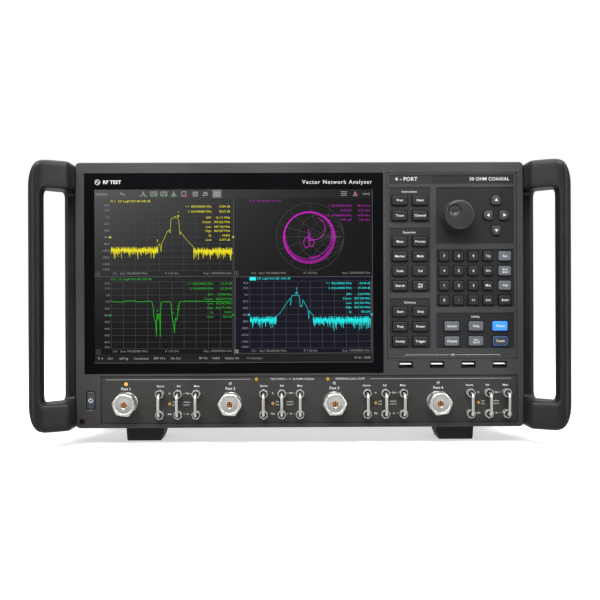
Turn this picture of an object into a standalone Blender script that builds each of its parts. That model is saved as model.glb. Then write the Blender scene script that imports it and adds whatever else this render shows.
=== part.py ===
"""Benchtop vector network analyzer with four test ports, built as an assembly of separate parts.

Lengths are millimetres until place() turns them into Blender's metres. X runs to the operator's
right, Z up from the bench, and every depth `d` is measured from the front panel's face, positive
into the instrument. The world origin is under the middle of the instrument, on the bench.
"""

import math

import bmesh
import bpy
from mathutils import Vector

# ---------------------------------------------------------------- driving dimensions

BODY_W = 421.0
BODY_H = 249.2
FOOT_H = 15.0
HANDLE_REACH = 40.0
REAR_BUMPER_D = 430.0
TOTAL_D = HANDLE_REACH + REAR_BUMPER_D
FRONT_Y = HANDLE_REACH - TOTAL_D / 2
MIDDLE_Z = FOOT_H + BODY_H / 2
GAP = 0.3

FRAME_D = 22.0
FRAME_FACE = 5.0
FRAME_WALL = 2.8

GLASS = (-62.0, 160.0, 279.9, 187.9)
LCD = (-62.15, 157.0, 266.0, 170.0)
CONTROL = (143.05, 166.7, 121.8, 174.8)
PORT_PANEL = (8.65, 41.4, 391.3, 44.2)

KEY_TRAVEL = 1.3
KEY_FRONT = -1.7
KEY_GAP = 0.5
FUNCTION_KEY = (14.2, 9.0)
DIGIT_KEY = (9.4, 8.9)
EDGE_KEY = (11.8, 8.9)
UTILITY_KEY = (13.8, 8.9)
ARROW_KEY = 4.4

FUNCTION_COLUMNS = (93.9, 113.0)
INSTRUMENT_ROWS = (228.0, 213.7)
RESPONSE_ROWS = (189.2, 175.4, 161.6, 147.8)
STIMULUS_ROWS = (123.4, 109.4, 95.5)
DIGIT_COLUMNS = (135.4, 149.2, 163.0, 176.8)
EDGE_COLUMN = 192.8
DIGIT_ROWS = (175.4, 161.6, 147.8, 134.0)
UTILITY_COLUMNS = (142.7, 165.4, 188.1)
UTILITY_ROWS = (109.6, 95.5)
UTILITY_NAMES = (("system", "help", "preset"), ("display", "save", "touch"))
ARROW_CENTRE = (184.8, 213.9)
ARROW_REACH = (7.5, 14.3)

KNOB = (147.8, 213.0)
KNOB_R = 15.3
KNOB_FRONT = -20.0
SHAFT_R = 3.0

USB_X = (99.2, 128.7, 158.2, 187.7)
USB_Z = 73.5
POWER = (-196.6, 41.3)
GROUND = (-204.6, 21.3)

PORT_X = tuple(-16.8 + 96.9 * (n - 1.5) for n in range(4))
PORT_Z = 38.8
LOOP_Z = 37.6
LOOP_OFFSETS = (30.7, 47.7, 64.7)
LOOP_HALF = 9.7

COVER_W = 418.0
COVER_TOP = 262.5
COVER_D = 410.0
SHEET = 1.5
TRAY_Z = 16.0
REAR_PANEL_D = 406.5
FAN = (-120.0, 150.0)
FAN_SIDE = 120.0
FAN_D = 380.6
IO_PLATE = (95.0, 215.0, 160.0, 56.0)
INLET = (165.0, 66.0)
FRONT_FOOT_X = 149.5

# name: (colour, roughness, metallic)
FINISHES = {
    "dark_paint": ((0.085, 0.083, 0.080), 0.45, 0.1),
    "handle_paint": ((0.045, 0.043, 0.041), 0.38, 0.1),
    "knob_paint": ((0.045, 0.045, 0.044), 0.42, 0.0),
    "panel_plastic": ((0.060, 0.063, 0.063), 0.55, 0.0),
    "key_rubber": ((0.018, 0.019, 0.021), 0.60, 0.0),
    "grey_key": ((0.120, 0.130, 0.150), 0.55, 0.0),
    "blue_key": ((0.050, 0.250, 0.850), 0.50, 0.0),
    "black_glass": ((0.008, 0.009, 0.011), 0.08, 0.0),
    "screen": ((0.020, 0.020, 0.022), 0.20, 0.0),
    "steel": ((0.620, 0.610, 0.590), 0.28, 1.0),
    "zinc_sheet": ((0.450, 0.460, 0.470), 0.45, 0.9),
    "circuit_board": ((0.020, 0.110, 0.050), 0.50, 0.0),
    "black_plastic": ((0.016, 0.016, 0.017), 0.50, 0.0),
    "rubber": ((0.012, 0.012, 0.012), 0.80, 0.0),
}


# ---------------------------------------------------------------- shapes

def place(x, d, z):
    """A point in metres from its x, its depth behind the front face and its height."""
    return Vector((x, FRONT_Y + d, z)) * 0.001


def facing(outline, d):
    """A ring of (x, z) points at one depth."""
    return [place(x, d, z) for x, z in outline]


def level(outline, z):
    """A ring of (x, d) points at one height."""
    return [place(x, d, z) for x, d in outline]


def across(outline, x):
    """A ring of (d, z) points at one x."""
    return [place(x, d, z) for d, z in outline]


def circle(cx, cz, radius, sides=12):
    step = 2 * math.pi / sides
    return [(cx + radius * math.cos(i * step), cz + radius * math.sin(i * step)) for i in range(sides)]


def hexagon(cx, cz, corner_radius, per_side=1):
    """A hexagon with its edges split, so that it skins to a circle of as many points."""
    corners = circle(cx, cz, corner_radius, 6)
    points = []
    for (ax, az), (bx, bz) in zip(corners, corners[1:] + corners[:1]):
        for k in range(per_side):
            share = k / per_side
            points.append((ax + (bx - ax) * share, az + (bz - az) * share))
    return points


def rectangle(cx, cz, width, height):
    w, h = width / 2, height / 2
    return [(cx - w, cz - h), (cx + w, cz - h), (cx + w, cz + h), (cx - w, cz + h)]


def rounded(cx, cz, width, height, radius, steps=2, radius_v=None):
    """A rectangle whose corners are quarter ellipses of `steps` chords."""
    radius_v = radius_v or radius
    w, h = width / 2 - radius, height / 2 - radius_v
    points = []
    for turn, (sx, sz) in enumerate(((1, 1), (-1, 1), (-1, -1), (1, -1))):
        for k in range(steps + 1):
            angle = math.pi / 2 * (turn + k / steps)
            x = cx + sx * w + radius * math.cos(angle)
            points.append((x, cz + sz * h + radius_v * math.sin(angle)))
    return points


def turned(cx, cz, profile, sides=12):
    """Rings about an axis along the depth, from (radius, depth) pairs."""
    return [facing(circle(cx, cz, radius, sides), d) for radius, d in profile]


def slab(outline, near, far):
    return [facing(outline, near), facing(outline, far)]


def block(x0, x1, d0, d1, z0, z1):
    return slab(rectangle((x0 + x1) / 2, (z0 + z1) / 2, x1 - x0, z1 - z0), d0, d1)


# ---------------------------------------------------------------- objects

def finish_material(name):
    material = bpy.data.materials.get(name)
    if material is None:
        colour, roughness, metallic = FINISHES[name]
        material = bpy.data.materials.new(name)
        material.use_nodes = True
        shader = material.node_tree.nodes["Principled BSDF"]
        shader.inputs["Base Color"].default_value = (*colour, 1.0)
        shader.inputs["Roughness"].default_value = roughness
        shader.inputs["Metallic"].default_value = metallic
    return material


def add_loft(mesh, rings):
    """Skins rings of equal length in order and closes the first and the last."""
    loops = [[mesh.verts.new(point) for point in ring] for ring in rings]
    for near, far in zip(loops, loops[1:]):
        for i, corner in enumerate(near):
            j = (i + 1) % len(near)
            mesh.faces.new((corner, near[j], far[j], far[i]))
    mesh.faces.new(loops[0])
    mesh.faces.new(loops[-1])


def mesh_object(name, solids, origin=None):
    """An object holding these lofts, with its origin at `origin` or in the middle of its box."""
    points = [point for rings in solids for ring in rings for point in ring]
    if origin is None:
        lowest = Vector(min(point[k] for point in points) for k in range(3))
        highest = Vector(max(point[k] for point in points) for k in range(3))
        origin = (lowest + highest) / 2
    mesh = bmesh.new()
    for rings in solids:
        add_loft(mesh, rings)
    bmesh.ops.recalc_face_normals(mesh, faces=mesh.faces)
    bmesh.ops.translate(mesh, verts=mesh.verts, vec=-origin)
    data = bpy.data.meshes.new(name)
    mesh.to_mesh(data)
    mesh.free()
    made = bpy.data.objects.new(name, data)
    made.location = origin
    bpy.context.scene.collection.objects.link(made)
    return made


def part(name, rings, finish, origin=None, smooth=False):
    """One named piece, started from a single loft."""
    made = mesh_object(name, [rings], origin)
    made.data.materials.append(finish_material(finish))
    if smooth:
        made.data.shade_smooth()
        made.data.set_sharp_from_angle(angle=math.radians(30))
    made.parent = bpy.data.objects["instrument"]
    return made


def combine(target, name, solids, operation):
    """Adds a Boolean with a hidden helper made of these lofts, which don't touch each other."""
    helper = mesh_object(f"{target.name}_{name}", solids)
    helper.hide_render = True
    helper.display_type = "WIRE"
    modifier = target.modifiers.new(name, "BOOLEAN")
    modifier.operation = operation
    modifier.solver = "EXACT"
    modifier.object = helper


def carve(target, name, *solids):
    combine(target, name, solids, "DIFFERENCE")


def fuse(target, name, *solids):
    combine(target, name, solids, "UNION")


# ---------------------------------------------------------------- enclosure

def build_front_frame():
    face = rounded(0, MIDDLE_Z, BODY_W - 1.6, BODY_H - 1.6, 3)
    side = rounded(0, MIDDLE_Z, BODY_W, BODY_H, 3.5)
    frame = part("front_frame", [facing(face, 0), facing(side, 0.8), facing(side, FRAME_D)], "dark_paint")
    inner = rounded(0, MIDDLE_Z, BODY_W - 2 * FRAME_WALL, BODY_H - 2 * FRAME_WALL, 2)
    carve(frame, "pocket", slab(inner, FRAME_FACE, FRAME_D + 2))
    seats = [(GLASS, 2.4), (CONTROL, 3.3), (PORT_PANEL, 3.3)]
    carve(
        frame,
        "seats",
        *(slab(rectangle(x, z, w + 0.8, h + 0.6), -2, depth) for (x, z, w, h), depth in seats),
    )
    openings = [
        rectangle(LCD[0], LCD[1], LCD[2] + 1.6, LCD[3] + 1.6),
        rectangle(CONTROL[0], CONTROL[1], CONTROL[2] - 5.8, CONTROL[3] - 5.8),
        rectangle(9, 41.5, 384, 38),
        rounded(*POWER, 9.6, 18.8, 2.6),
        circle(*GROUND, 2.85),
    ]
    openings += [rectangle(x, USB_Z, 13.6, 6.4) for x in USB_X]
    carve(frame, "openings", *(slab(outline, -3, FRAME_FACE + 1) for outline in openings))


def vent_slots(side):
    """A row of upright cooling slots in one side of the cover."""
    x0, x1 = sorted((side * (COVER_W / 2 - 4), side * (COVER_W / 2 + 4)))
    for n in range(12):
        d = 90 + n * 20
        yield block(x0, x1, d, d + 6, 90, 200)


def build_cover_and_tray():
    w, low = COVER_W / 2, TRAY_Z + 0.5
    inner = w - SHEET
    top = COVER_TOP - SHEET
    outline = [
        (-w, low), (-inner, low), (-inner, top), (inner, top),
        (inner, low), (w, low), (w, COVER_TOP), (-w, COVER_TOP),
    ]
    cover = part("wrap_cover", slab(outline, FRAME_D + 0.4, COVER_D), "dark_paint")
    carve(cover, "vents", *vent_slots(-1), *vent_slots(1))
    w = inner - 0.5
    inner = w - SHEET
    floor, lip = TRAY_Z + SHEET, TRAY_Z + 14
    outline = [
        (-w, TRAY_Z), (w, TRAY_Z), (w, lip), (inner, lip),
        (inner, floor), (-inner, floor), (-inner, lip), (-w, lip),
    ]
    part("chassis_tray", slab(outline, FRAME_D + 0.5, COVER_D - 1), "zinc_sheet")


def build_rear_panel():
    back = REAR_PANEL_D + 2
    panel = part("rear_panel", block(-205, 205, REAR_PANEL_D, back, 18, 260.5), "dark_paint")
    holes = [rectangle(*IO_PLATE[:2], IO_PLATE[2] - 8, IO_PLATE[3] - 8), rectangle(*INLET, 46, 25.5)]
    for n in range(-5, 6):
        width = 2 * math.sqrt(56**2 - (10 * n) ** 2)
        holes.append(rectangle(FAN[0], FAN[1] + 10 * n, width, 6))
    carve(panel, "holes", *(slab(hole, REAR_PANEL_D - 2, back + 2) for hole in holes))


def build_handle(name, side):
    """A grip bar ahead of and outside a mounting rail, joined by an arm at the top and the bottom."""
    plan = [
        (211, 60), (211, -20), (213, -23.6), (216, -25.6), (234, -38), (238, -40), (242, -39),
        (245.5, -35.5), (246.5, -31), (246.5, -16), (243, -9), (223, 14), (223, 60),
    ]
    bottom, top = FOOT_H + 0.5, COVER_TOP
    low, high = 40.5, 237.5
    middle = (low + high) / 2
    plan = [(side * x, d) for x, d in plan]
    handle = part(name, [level(plan, bottom), level(plan, top)], "handle_paint")
    silhouette = rounded(side * 200, (bottom + top) / 2, 93, top - bottom, 14, 6, radius_v=26)
    combine(handle, "silhouette", [slab(silhouette, -60, 80)], "INTERSECT")
    front = rounded(side * 219, middle, 32, high - low, 4)
    carve(handle, "front_gap", slab(front, -60, 12))
    back = rounded(side * 238, middle, 30, high - low, 4)
    carve(handle, "back_gap", slab(back, -20, 80))


def build_front_foot(word, side):
    """A moulded foot with a pocket underneath, and the tilt leg pinned in it."""
    outline = [(167.5, 15.7), (166.5, 1.2), (165.5, 0), (134, 0), (131.2, 7), (131.2, 15.7)]
    foot = part(f"front_foot_{word}", slab([(side * x, z) for x, z in outline], 26, 58), "rubber")
    x = side * FRONT_FOOT_X
    carve(foot, "pocket", block(x - 13.5, x + 13.5, 30, 90, -5, 10.5))
    pin = (35.5, 6.0)
    carve(foot, "pin_holes", [across(circle(*pin, 1.65), x - 18), across(circle(*pin, 1.65), x + 18)])
    barrel = [(pin[0] + 3.4 * math.cos(a), pin[1] + 3.4 * math.sin(a))
              for a in (math.radians(45 + 27 * k) for k in range(11))]
    leg = barrel + [(82, 3.6), (84, 4.6), (84, 7.4), (82, 8.4)]
    pivot = place(x, *pin)
    piece = part(f"tilt_leg_{word}", [across(leg, x - 13), across(leg, x + 13)], "black_plastic", pivot)
    fuse(piece, "pin", [across(circle(*pin, 1.5), x - 17), across(circle(*pin, 1.5), x + 17)])


def build_rear_foot(word, side):
    """A corner foot that also stands the rear panel off a wall."""
    back = COVER_D + 0.6
    outline = [(365, 0), (428, 0), (REAR_BUMPER_D, 2), (REAR_BUMPER_D, 45), (back, 45), (back, 15.7), (365, 15.7)]
    x = side * 172
    part(f"rear_foot_{word}", [across(outline, x - 19), across(outline, x + 19)], "rubber")


# ---------------------------------------------------------------- display and controls

def build_display():
    x, z, w, h = GLASS
    part("touch_glass", slab(rounded(x, z, w, h, 1.5), 0.1, 2.0), "black_glass")
    x, z, w, h = LCD
    part("lcd_module", slab(rectangle(x, z, w, h), 2.3, 11.5), "screen")


def arrow_outline(cx, cz, turns, grow=0.0):
    """A square key, narrowed on the side that points outward, turned by quarter turns."""
    s = ARROW_KEY + grow
    shape = [(-s, -s), (s, -s), (s, 0.8), (2.6 + grow / 2, s), (-2.6 - grow / 2, s), (-s, 0.8)]
    for _ in range(turns):
        shape = [(-v, u) for u, v in shape]
    return [(cx + u, cz + v) for u, v in shape]


def arrows():
    """(name, x, z, quarter turns) of each arrow key."""
    (x, z), (across_by, up_by) = ARROW_CENTRE, ARROW_REACH
    yield "key_up", x, z + up_by, 0
    yield "key_left", x - across_by, z, 1
    yield "key_down", x, z - up_by, 2
    yield "key_right", x + across_by, z, 3


def key_rows():
    """(row name, [(x, z, width, height) of each key]) for the keys that share a rubber strip."""
    for group, rows in (
        ("instrument", INSTRUMENT_ROWS), ("response", RESPONSE_ROWS), ("stimulus", STIMULUS_ROWS),
    ):
        for n, z in enumerate(rows, 1):
            yield f"{group}_keys_row_{n}", [(x, z, *FUNCTION_KEY) for x in FUNCTION_COLUMNS]
    for n, z in enumerate(DIGIT_ROWS, 1):
        keys = [(x, z, *DIGIT_KEY) for x in DIGIT_COLUMNS]
        yield f"number_keys_row_{n}", keys + [(EDGE_COLUMN, z, *EDGE_KEY)]


def utility_keys():
    for names, z in zip(UTILITY_NAMES, UTILITY_ROWS):
        for name, x in zip(names, UTILITY_COLUMNS):
            yield f"key_{name}", x, z


def build_control_panel():
    x, z, w, h = CONTROL
    panel = part("control_panel", slab(rounded(x, z, w, h, 1.5), GAP, 3.0), "panel_plastic")
    fields = [
        (84.2, 201.5, 243.7, 252.4), (84.2, 122.6, 206.8, 240.3), (84.2, 122.6, 141.3, 202.3),
        (84.2, 122.6, 88.9, 135.9), (128.2, 201.5, 187.3, 240.3), (128.2, 201.5, 127.7, 182.0),
        (128.2, 201.5, 88.9, 122.2),
    ]
    carve(panel, "fields", *(block(x0, x1, -1, 0.9, z0, z1) for x0, x1, z0, z1 in fields))
    holes = [circle(*KNOB, 4.4)]
    for _, keys in key_rows():
        holes += [rectangle(x, z, w + 2 * KEY_GAP, h + 2 * KEY_GAP) for x, z, w, h in keys]
    w, h = UTILITY_KEY
    holes += [rectangle(x, z, w + 2 * KEY_GAP, h + 2 * KEY_GAP) for _, x, z in utility_keys()]
    holes += [arrow_outline(x, z, turns, KEY_GAP) for _, x, z, turns in arrows()]
    carve(panel, "holes", *(slab(hole, 0.2, 4) for hole in holes))


def keycap(x, z, width, height, back):
    """Rings of a key with cut corners and a sloped rim."""
    def outline(inset):
        return rounded(x, z, width - 2 * inset, height - 2 * inset, 1.2, 1)

    return [facing(outline(0), back), facing(outline(0), KEY_FRONT + 0.5), facing(outline(0.5), KEY_FRONT)]


def build_key_rows():
    for name, keys in key_rows():
        left = keys[0][0] - keys[0][2] / 2 - 1
        right = keys[-1][0] + keys[-1][2] / 2 + 1
        z = keys[0][1]
        strip = block(left, right, 3.8, 5.0, z - 3, z + 3)
        row = part(name, strip, "key_rubber", place((left + right) / 2, KEY_FRONT, z))
        fuse(row, "caps", *(keycap(*key, back=4.4) for key in keys))


def build_single_keys():
    w, h = UTILITY_KEY
    for name, x, z in utility_keys():
        lip = rounded(x, z, w + 2, h + 2, 1.2, 1)
        edge = rounded(x, z, w, h, 1.2, 1)
        rings = [facing(lip, 5.0), facing(lip, 3.8), facing(edge, 3.8)] + keycap(x, z, w, h, 3.0)[1:]
        finish = "blue_key" if name == "key_preset" else "grey_key"
        part(name, rings, finish, place(x, KEY_FRONT, z))
    for name, x, z, turns in arrows():
        lip, edge, top = (arrow_outline(x, z, turns, grow) for grow in (1.0, 0.0, -0.5))
        rings = [facing(lip, 5.0), facing(lip, 3.8), facing(edge, 3.8)]
        rings += [facing(edge, KEY_FRONT + 0.5), facing(top, KEY_FRONT)]
        part(name, rings, "grey_key", place(x, KEY_FRONT, z))
    x, z = POWER
    lip, edge, top = (rounded(x, z, 8 + g, 17 + g, 2 + g / 4) for g in (2.6, 0, -0.8))
    rings = [facing(lip, 6.6), facing(lip, FRAME_FACE + GAP), facing(edge, FRAME_FACE + GAP)]
    rings += [facing(edge, -0.2), facing(top, -0.6)]
    part("power_button", rings, "grey_key", place(x, -0.6, z))


def build_key_board():
    """The board behind the keys, with the rotary encoder's body and bushing on its front."""
    board = part("key_board", block(86, 200, 7.0, 8.6, 84, 249), "circuit_board")
    fuse(board, "encoder_body", block(KNOB[0] - 7, KNOB[0] + 7, 3.6, 7.8, KNOB[1] - 7, KNOB[1] + 7))
    fuse(board, "bushing", turned(*KNOB, [(3.9, 5.0), (3.9, -1.5)], 16))
    carve(board, "bore", turned(*KNOB, [(3.12, 12), (3.12, -4)], 16))


def build_knob():
    x, z = KNOB
    pivot = place(x, KNOB_FRONT, z)
    part("encoder_shaft", turned(x, z, [(SHAFT_R, 9.2), (SHAFT_R, -12.6)], 16), "steel", pivot, True)
    profile = [
        (SHAFT_R + 0.1, -13), (SHAFT_R + 0.1, -3.2), (4.8, -3.2), (4.8, -GAP), (15, -GAP), (KNOB_R, -0.9),
        (KNOB_R, -3.4), (14.7, -4.2), (13.9, -18.6), (12.9, KNOB_FRONT),
    ]
    knob = part("knob", turned(x, z, profile, 20), "knob_paint", pivot, True)
    dimple = [(6.3 * math.cos(a), KNOB_FRONT - 1.2 + 3.6 * math.sin(a))
              for a in (math.radians(22.5 * k) for k in range(4))]
    rings = turned(x - 5.4, z + 2.9, [(6.3, KNOB_FRONT - 3)] + dimple, 12)
    carve(knob, "finger_dimple", rings)


def build_usb_board():
    """A board carrying the four sockets, whose shells reach through the front frame."""
    board = part("usb_board", block(90, 197, 13.4, 15, 68, 80), "steel")
    shells = [slab(rectangle(x, USB_Z, 13.2, 6.0), 0.6, 14.2) for x in USB_X]
    fuse(board, "shells", *shells)
    carve(board, "cavities", *(slab(rectangle(x, USB_Z, 12.4, 5.2), -1, 12) for x in USB_X))


# ---------------------------------------------------------------- test ports

def loop_points(port_x):
    """(x, z) of the six loop jacks beside a port."""
    return [(port_x + dx, LOOP_Z + dz) for dx in LOOP_OFFSETS for dz in (LOOP_HALF, -LOOP_HALF)]


def build_port_panel():
    x, z, w, h = PORT_PANEL
    panel = part("port_panel", slab(rectangle(x, z, w, h), 1.0, 3.0), "panel_plastic")
    holes = []
    for port_x in PORT_X:
        holes.append(circle(port_x, PORT_Z, 8.5))
        holes += [hexagon(*point, 3.8) for point in loop_points(port_x)]
    carve(panel, "holes", *(slab(hole, 0, 4) for hole in holes))


def build_test_port(name, x):
    """A bulkhead test connector: flange, neck, hexagonal nut, bore and centre pin."""
    profile = [(8, 24), (8, 0.7), (9.8, 0.7), (9.8, -2.6), (8.6, -2.6), (8.6, -7.5)]
    rings = turned(x, PORT_Z, profile)
    rings += [facing(hexagon(x, PORT_Z, 11.3, 2), d) for d in (-7.5, -24.4)]
    bore = [(9.6, -26), (2.5, -26), (2.5, -19.5), (0.75, -19.5), (0.75, -23.5)]
    rings += turned(x, PORT_Z, bore)
    part(name, rings, "steel", place(x, -26, PORT_Z))


def link_path():
    """(d, z offset) along a U-shaped link, from the upper jack to the lower one."""
    bend, front = 4.0, -19.0
    path = [(-11.0, LOOP_HALF)]
    for k in range(4):
        angle = math.radians(30 * k)
        path.append((front + bend * (1 - math.sin(angle)), LOOP_HALF - bend * (1 - math.cos(angle))))
    return path + [(d, -dz) for d, dz in reversed(path)]


def tube_rings(x, path, radius, sides=6):
    """Rings square to a path in the (d, z) plane."""
    rings = []
    for i, (d, z) in enumerate(path):
        before, after = path[max(i - 1, 0)], path[min(i + 1, len(path) - 1)]
        along = Vector((after[0] - before[0], after[1] - before[1])).normalized()
        ring = []
        for k in range(sides):
            angle = 2 * math.pi * k / sides
            out = radius * math.cos(angle)
            ring.append(place(x + radius * math.sin(angle), d - out * along[1], z + out * along[0]))
        rings.append(ring)
    return rings


def build_loops(name, port_x):
    """Three semi-rigid links on six jacks, which are held by one plate behind the port panel."""
    first, last = port_x + LOOP_OFFSETS[0], port_x + LOOP_OFFSETS[-1]
    plate = block(first - 4.6, last + 4.6, 3.4, 5.0, LOOP_Z - 14.4, LOOP_Z + 14.4)
    loops = part(name, plate, "steel")
    jacks = []
    for x, z in loop_points(port_x):
        sections = ((3.3, 4.4), (3.3, -4.0), (4.3, -4.0), (4.3, -10.5), (2.3, -10.5), (2.3, -13))
        jacks.append([facing(hexagon(x, z, radius), d) for radius, d in sections])
    fuse(loops, "jacks", *jacks)
    path = [(d, LOOP_Z + dz) for d, dz in link_path()]
    fuse(loops, "links", *(tube_rings(port_x + dx, path, 1.35) for dx in LOOP_OFFSETS))


def build_ground_jack():
    profile = [(2.5, 16), (2.5, -0.3), (2.05, -0.3), (2.05, 13)]
    part("ground_jack", turned(*GROUND, profile), "steel")


# ---------------------------------------------------------------- inside and rear

def build_fan():
    x, z = FAN
    half, back = FAN_SIDE / 2, REAR_PANEL_D - GAP
    frame = part("fan_frame", block(x - half, x + half, FAN_D, back, z - half, z + half), "black_plastic")
    carve(frame, "throat", turned(x, z, [(57.5, FAN_D - 2), (57.5, back + 2)], 32))
    strut_back = FAN_D + 2.6
    fuse(frame, "strut_across", block(x - 58.5, x + 58.5, FAN_D + 0.2, strut_back, z - 3, z + 3))
    fuse(frame, "strut_upright", block(x - 3, x + 3, FAN_D + 0.2, strut_back, z - 58.5, z + 58.5))
    hub = [(20, FAN_D), (20, strut_back + 0.2), (2.2, strut_back + 0.2), (2.2, FAN_D + 13)]
    fuse(frame, "motor_base", turned(x, z, hub, 16))

    front = FAN_D + 3.4
    hub = [(2.32, front + 12), (2.32, front), (19, front), (19, front + 20)]
    rotor = part("fan_rotor", turned(x, z, hub, 20), "black_plastic", place(x, front, z))
    blades = []
    for n in range(7):
        turn = 2 * math.pi * n / 7
        rings = []
        for radius, pitch in ((17, 48), (30, 38), (43, 30), (55.5, 25)):
            slope = math.radians(pitch)
            chord = Vector((math.cos(slope), math.sin(slope))) * (9 + radius * 0.12)
            thick = Vector((-math.sin(slope), math.cos(slope))) * 0.8
            ring = []
            for a, b in ((-1, -1), (1, -1), (1, 1), (-1, 1)):
                swing, depth = chord * a + thick * b
                angle = turn + swing / max(radius, 25)
                depth = max(-9.2, min(9.2, depth))
                ring.append(place(x + radius * math.cos(angle), front + 10 + depth, z + radius * math.sin(angle)))
            rings.append(ring)
        blades.append(rings)
    fuse(rotor, "blades", *blades)


def build_boards():
    floor = TRAY_Z + SHEET + GAP
    supply = part("power_supply", block(125, 200, 210, 380, floor, 96), "zinc_sheet")
    fuse(supply, "terminal_block", block(135, 190, 378, 382.5, 70, 88))
    deck = part("rf_deck", block(-186, 198, 27, 118, floor, 58), "zinc_sheet")
    modules = [block(x - 24, x + 66, 34, 112, 56, 72) for x in PORT_X[:3]]
    fuse(deck, "receivers", *modules, block(PORT_X[3] - 24, PORT_X[3] + 60, 34, 112, 56, 72))
    board = part("main_board", block(-188, 108, 132, 368, 40, 41.6), "circuit_board")
    fuse(board, "standoffs", *(block(x - 4, x + 4, d - 4, d + 4, floor, 40.8)
                               for x in (-180, 100) for d in (140, 360)))
    fuse(board, "heat_sink", block(-120, -40, 180, 260, 41, 66))
    fuse(board, "shield_can", block(10, 90, 160, 250, 41, 54), block(-20, 60, 280, 340, 41, 50))
    carve(board, "fin_gaps", *(block(-113 + 10 * n, -108 + 10 * n, 178, 262, 47, 70) for n in range(7)))


def build_rear_connectors():
    x, z, w, h = IO_PLATE
    plate_d = REAR_PANEL_D + 2 + GAP
    io = part("rear_io_board", block(x - w / 2, x + w / 2, plate_d, plate_d + 1.6, z - h / 2, z + h / 2), "steel")
    fuse(io, "board", block(x - 74, x + 74, plate_d - 40, plate_d + 0.8, z - 22, z - 20.4))
    fuse(io, "bnc_jacks", *(turned(x - 60 + 24 * n, z + 10, [(4.8, plate_d - 6), (4.8, plate_d + 13)])
                            for n in range(4)))
    lan, usb = rectangle(x + 45, z + 8, 15.5, 13), rectangle(x + 45, z - 12, 13.2, 6)
    second = rectangle(x + 25, z - 12, 13.2, 6)
    fuse(io, "sockets", *(slab(outline, plate_d - 14, plate_d + 2.4) for outline in (lan, usb, second)))
    cavities = [rectangle(x + 45, z + 8, 11.7, 8.4)]
    cavities += [rectangle(socket_x, z - 12, 12.4, 5.2) for socket_x in (x + 45, x + 25)]
    carve(io, "cavities", *(slab(outline, plate_d - 11, plate_d + 5) for outline in cavities))

    x, z = INLET
    body = block(x - 22.5, x + 22.5, 386, plate_d + 1, z - 12.2, z + 12.2)
    inlet = part("ac_inlet", body, "black_plastic")
    fuse(inlet, "flange", slab(rounded(x, z, 52, 31, 3), plate_d, plate_d + 2.5))
    carve(inlet, "socket", slab(rounded(x, z, 24.4, 16.4, 3, 1), 394, plate_d + 5))


def main():
    for leftover in list(bpy.data.objects):
        bpy.data.objects.remove(leftover)
    empty = bpy.data.objects.new("instrument", None)
    bpy.context.scene.collection.objects.link(empty)

    build_front_frame()
    build_cover_and_tray()
    build_rear_panel()
    for word, side in (("left", -1), ("right", 1)):
        build_handle(f"handle_{word}", side)
        build_front_foot(word, side)
        build_rear_foot(word, side)
    build_display()
    build_control_panel()
    build_key_board()
    build_key_rows()
    build_single_keys()
    build_knob()
    build_usb_board()
    build_port_panel()
    for n, x in enumerate(PORT_X, 1):
        build_test_port(f"test_port_{n}", x)
        build_loops(f"loop_links_{n}", x)
    build_ground_jack()
    build_fan()
    build_boards()
    build_rear_connectors()
    bpy.data.objects["knob"].parent = bpy.data.objects["encoder_shaft"]
    bpy.data.objects["knob"].location = (0, 0, 0)


main()
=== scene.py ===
import math
import random

import bmesh
import bpy
from mathutils import Matrix, Vector


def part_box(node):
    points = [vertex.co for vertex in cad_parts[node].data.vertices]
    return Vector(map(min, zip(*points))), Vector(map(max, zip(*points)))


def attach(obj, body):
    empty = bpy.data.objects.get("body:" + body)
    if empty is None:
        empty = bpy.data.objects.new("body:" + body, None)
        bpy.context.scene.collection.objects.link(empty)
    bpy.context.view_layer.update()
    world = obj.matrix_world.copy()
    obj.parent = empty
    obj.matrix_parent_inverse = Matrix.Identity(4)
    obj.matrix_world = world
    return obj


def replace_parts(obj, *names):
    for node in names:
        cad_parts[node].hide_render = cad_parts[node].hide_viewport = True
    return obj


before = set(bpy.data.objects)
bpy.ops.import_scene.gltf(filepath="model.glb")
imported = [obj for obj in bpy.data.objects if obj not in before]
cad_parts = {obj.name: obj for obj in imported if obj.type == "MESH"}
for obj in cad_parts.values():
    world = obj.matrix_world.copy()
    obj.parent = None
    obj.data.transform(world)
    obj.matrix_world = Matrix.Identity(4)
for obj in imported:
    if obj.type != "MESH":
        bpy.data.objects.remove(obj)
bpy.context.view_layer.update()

MM = 0.001
CASE = "case"
FRONT_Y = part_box("front_frame")[0].y / MM


def at(x, d, z):
    """A point from millimetres: x to the right, depth d behind the front face, z up."""
    return Vector((x, FRONT_Y + d, z)) * MM


def centre(node):
    """(x, z) of the middle of a node, in millimetres."""
    low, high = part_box(node)
    return (low.x + high.x) / 2 / MM, (low.z + high.z) / 2 / MM


# ---------------------------------------------------------------- materials

def scaled(rgb, factor):
    return tuple(min(1, c * factor) for c in rgb)


def node_material(name, rgb, rough, metal=0.0, spec=0.5):
    """A Principled material, its node tree and its shader."""
    mat = bpy.data.materials.new(name)
    mat.use_nodes = True
    bsdf = mat.node_tree.nodes["Principled BSDF"]
    values = (("Base Color", (*rgb, 1)), ("Roughness", rough), ("Metallic", metal),
              ("Specular IOR Level", spec))
    for socket, value in values:
        bsdf.inputs[socket].default_value = value
    return mat, mat.node_tree, bsdf


def glow(mat, rgb, strength):
    """An even glow of one colour."""
    inputs = mat.node_tree.nodes["Principled BSDF"].inputs
    inputs["Emission Color"].default_value = (*rgb, 1)
    inputs["Emission Strength"].default_value = strength


def position(tree, space="Object"):
    """The X, Y and Z outputs of a point's coordinates."""
    split = tree.nodes.new("ShaderNodeSeparateXYZ")
    tree.links.new(tree.nodes.new("ShaderNodeTexCoord").outputs[space], split.inputs["Vector"])
    return split.outputs


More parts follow.
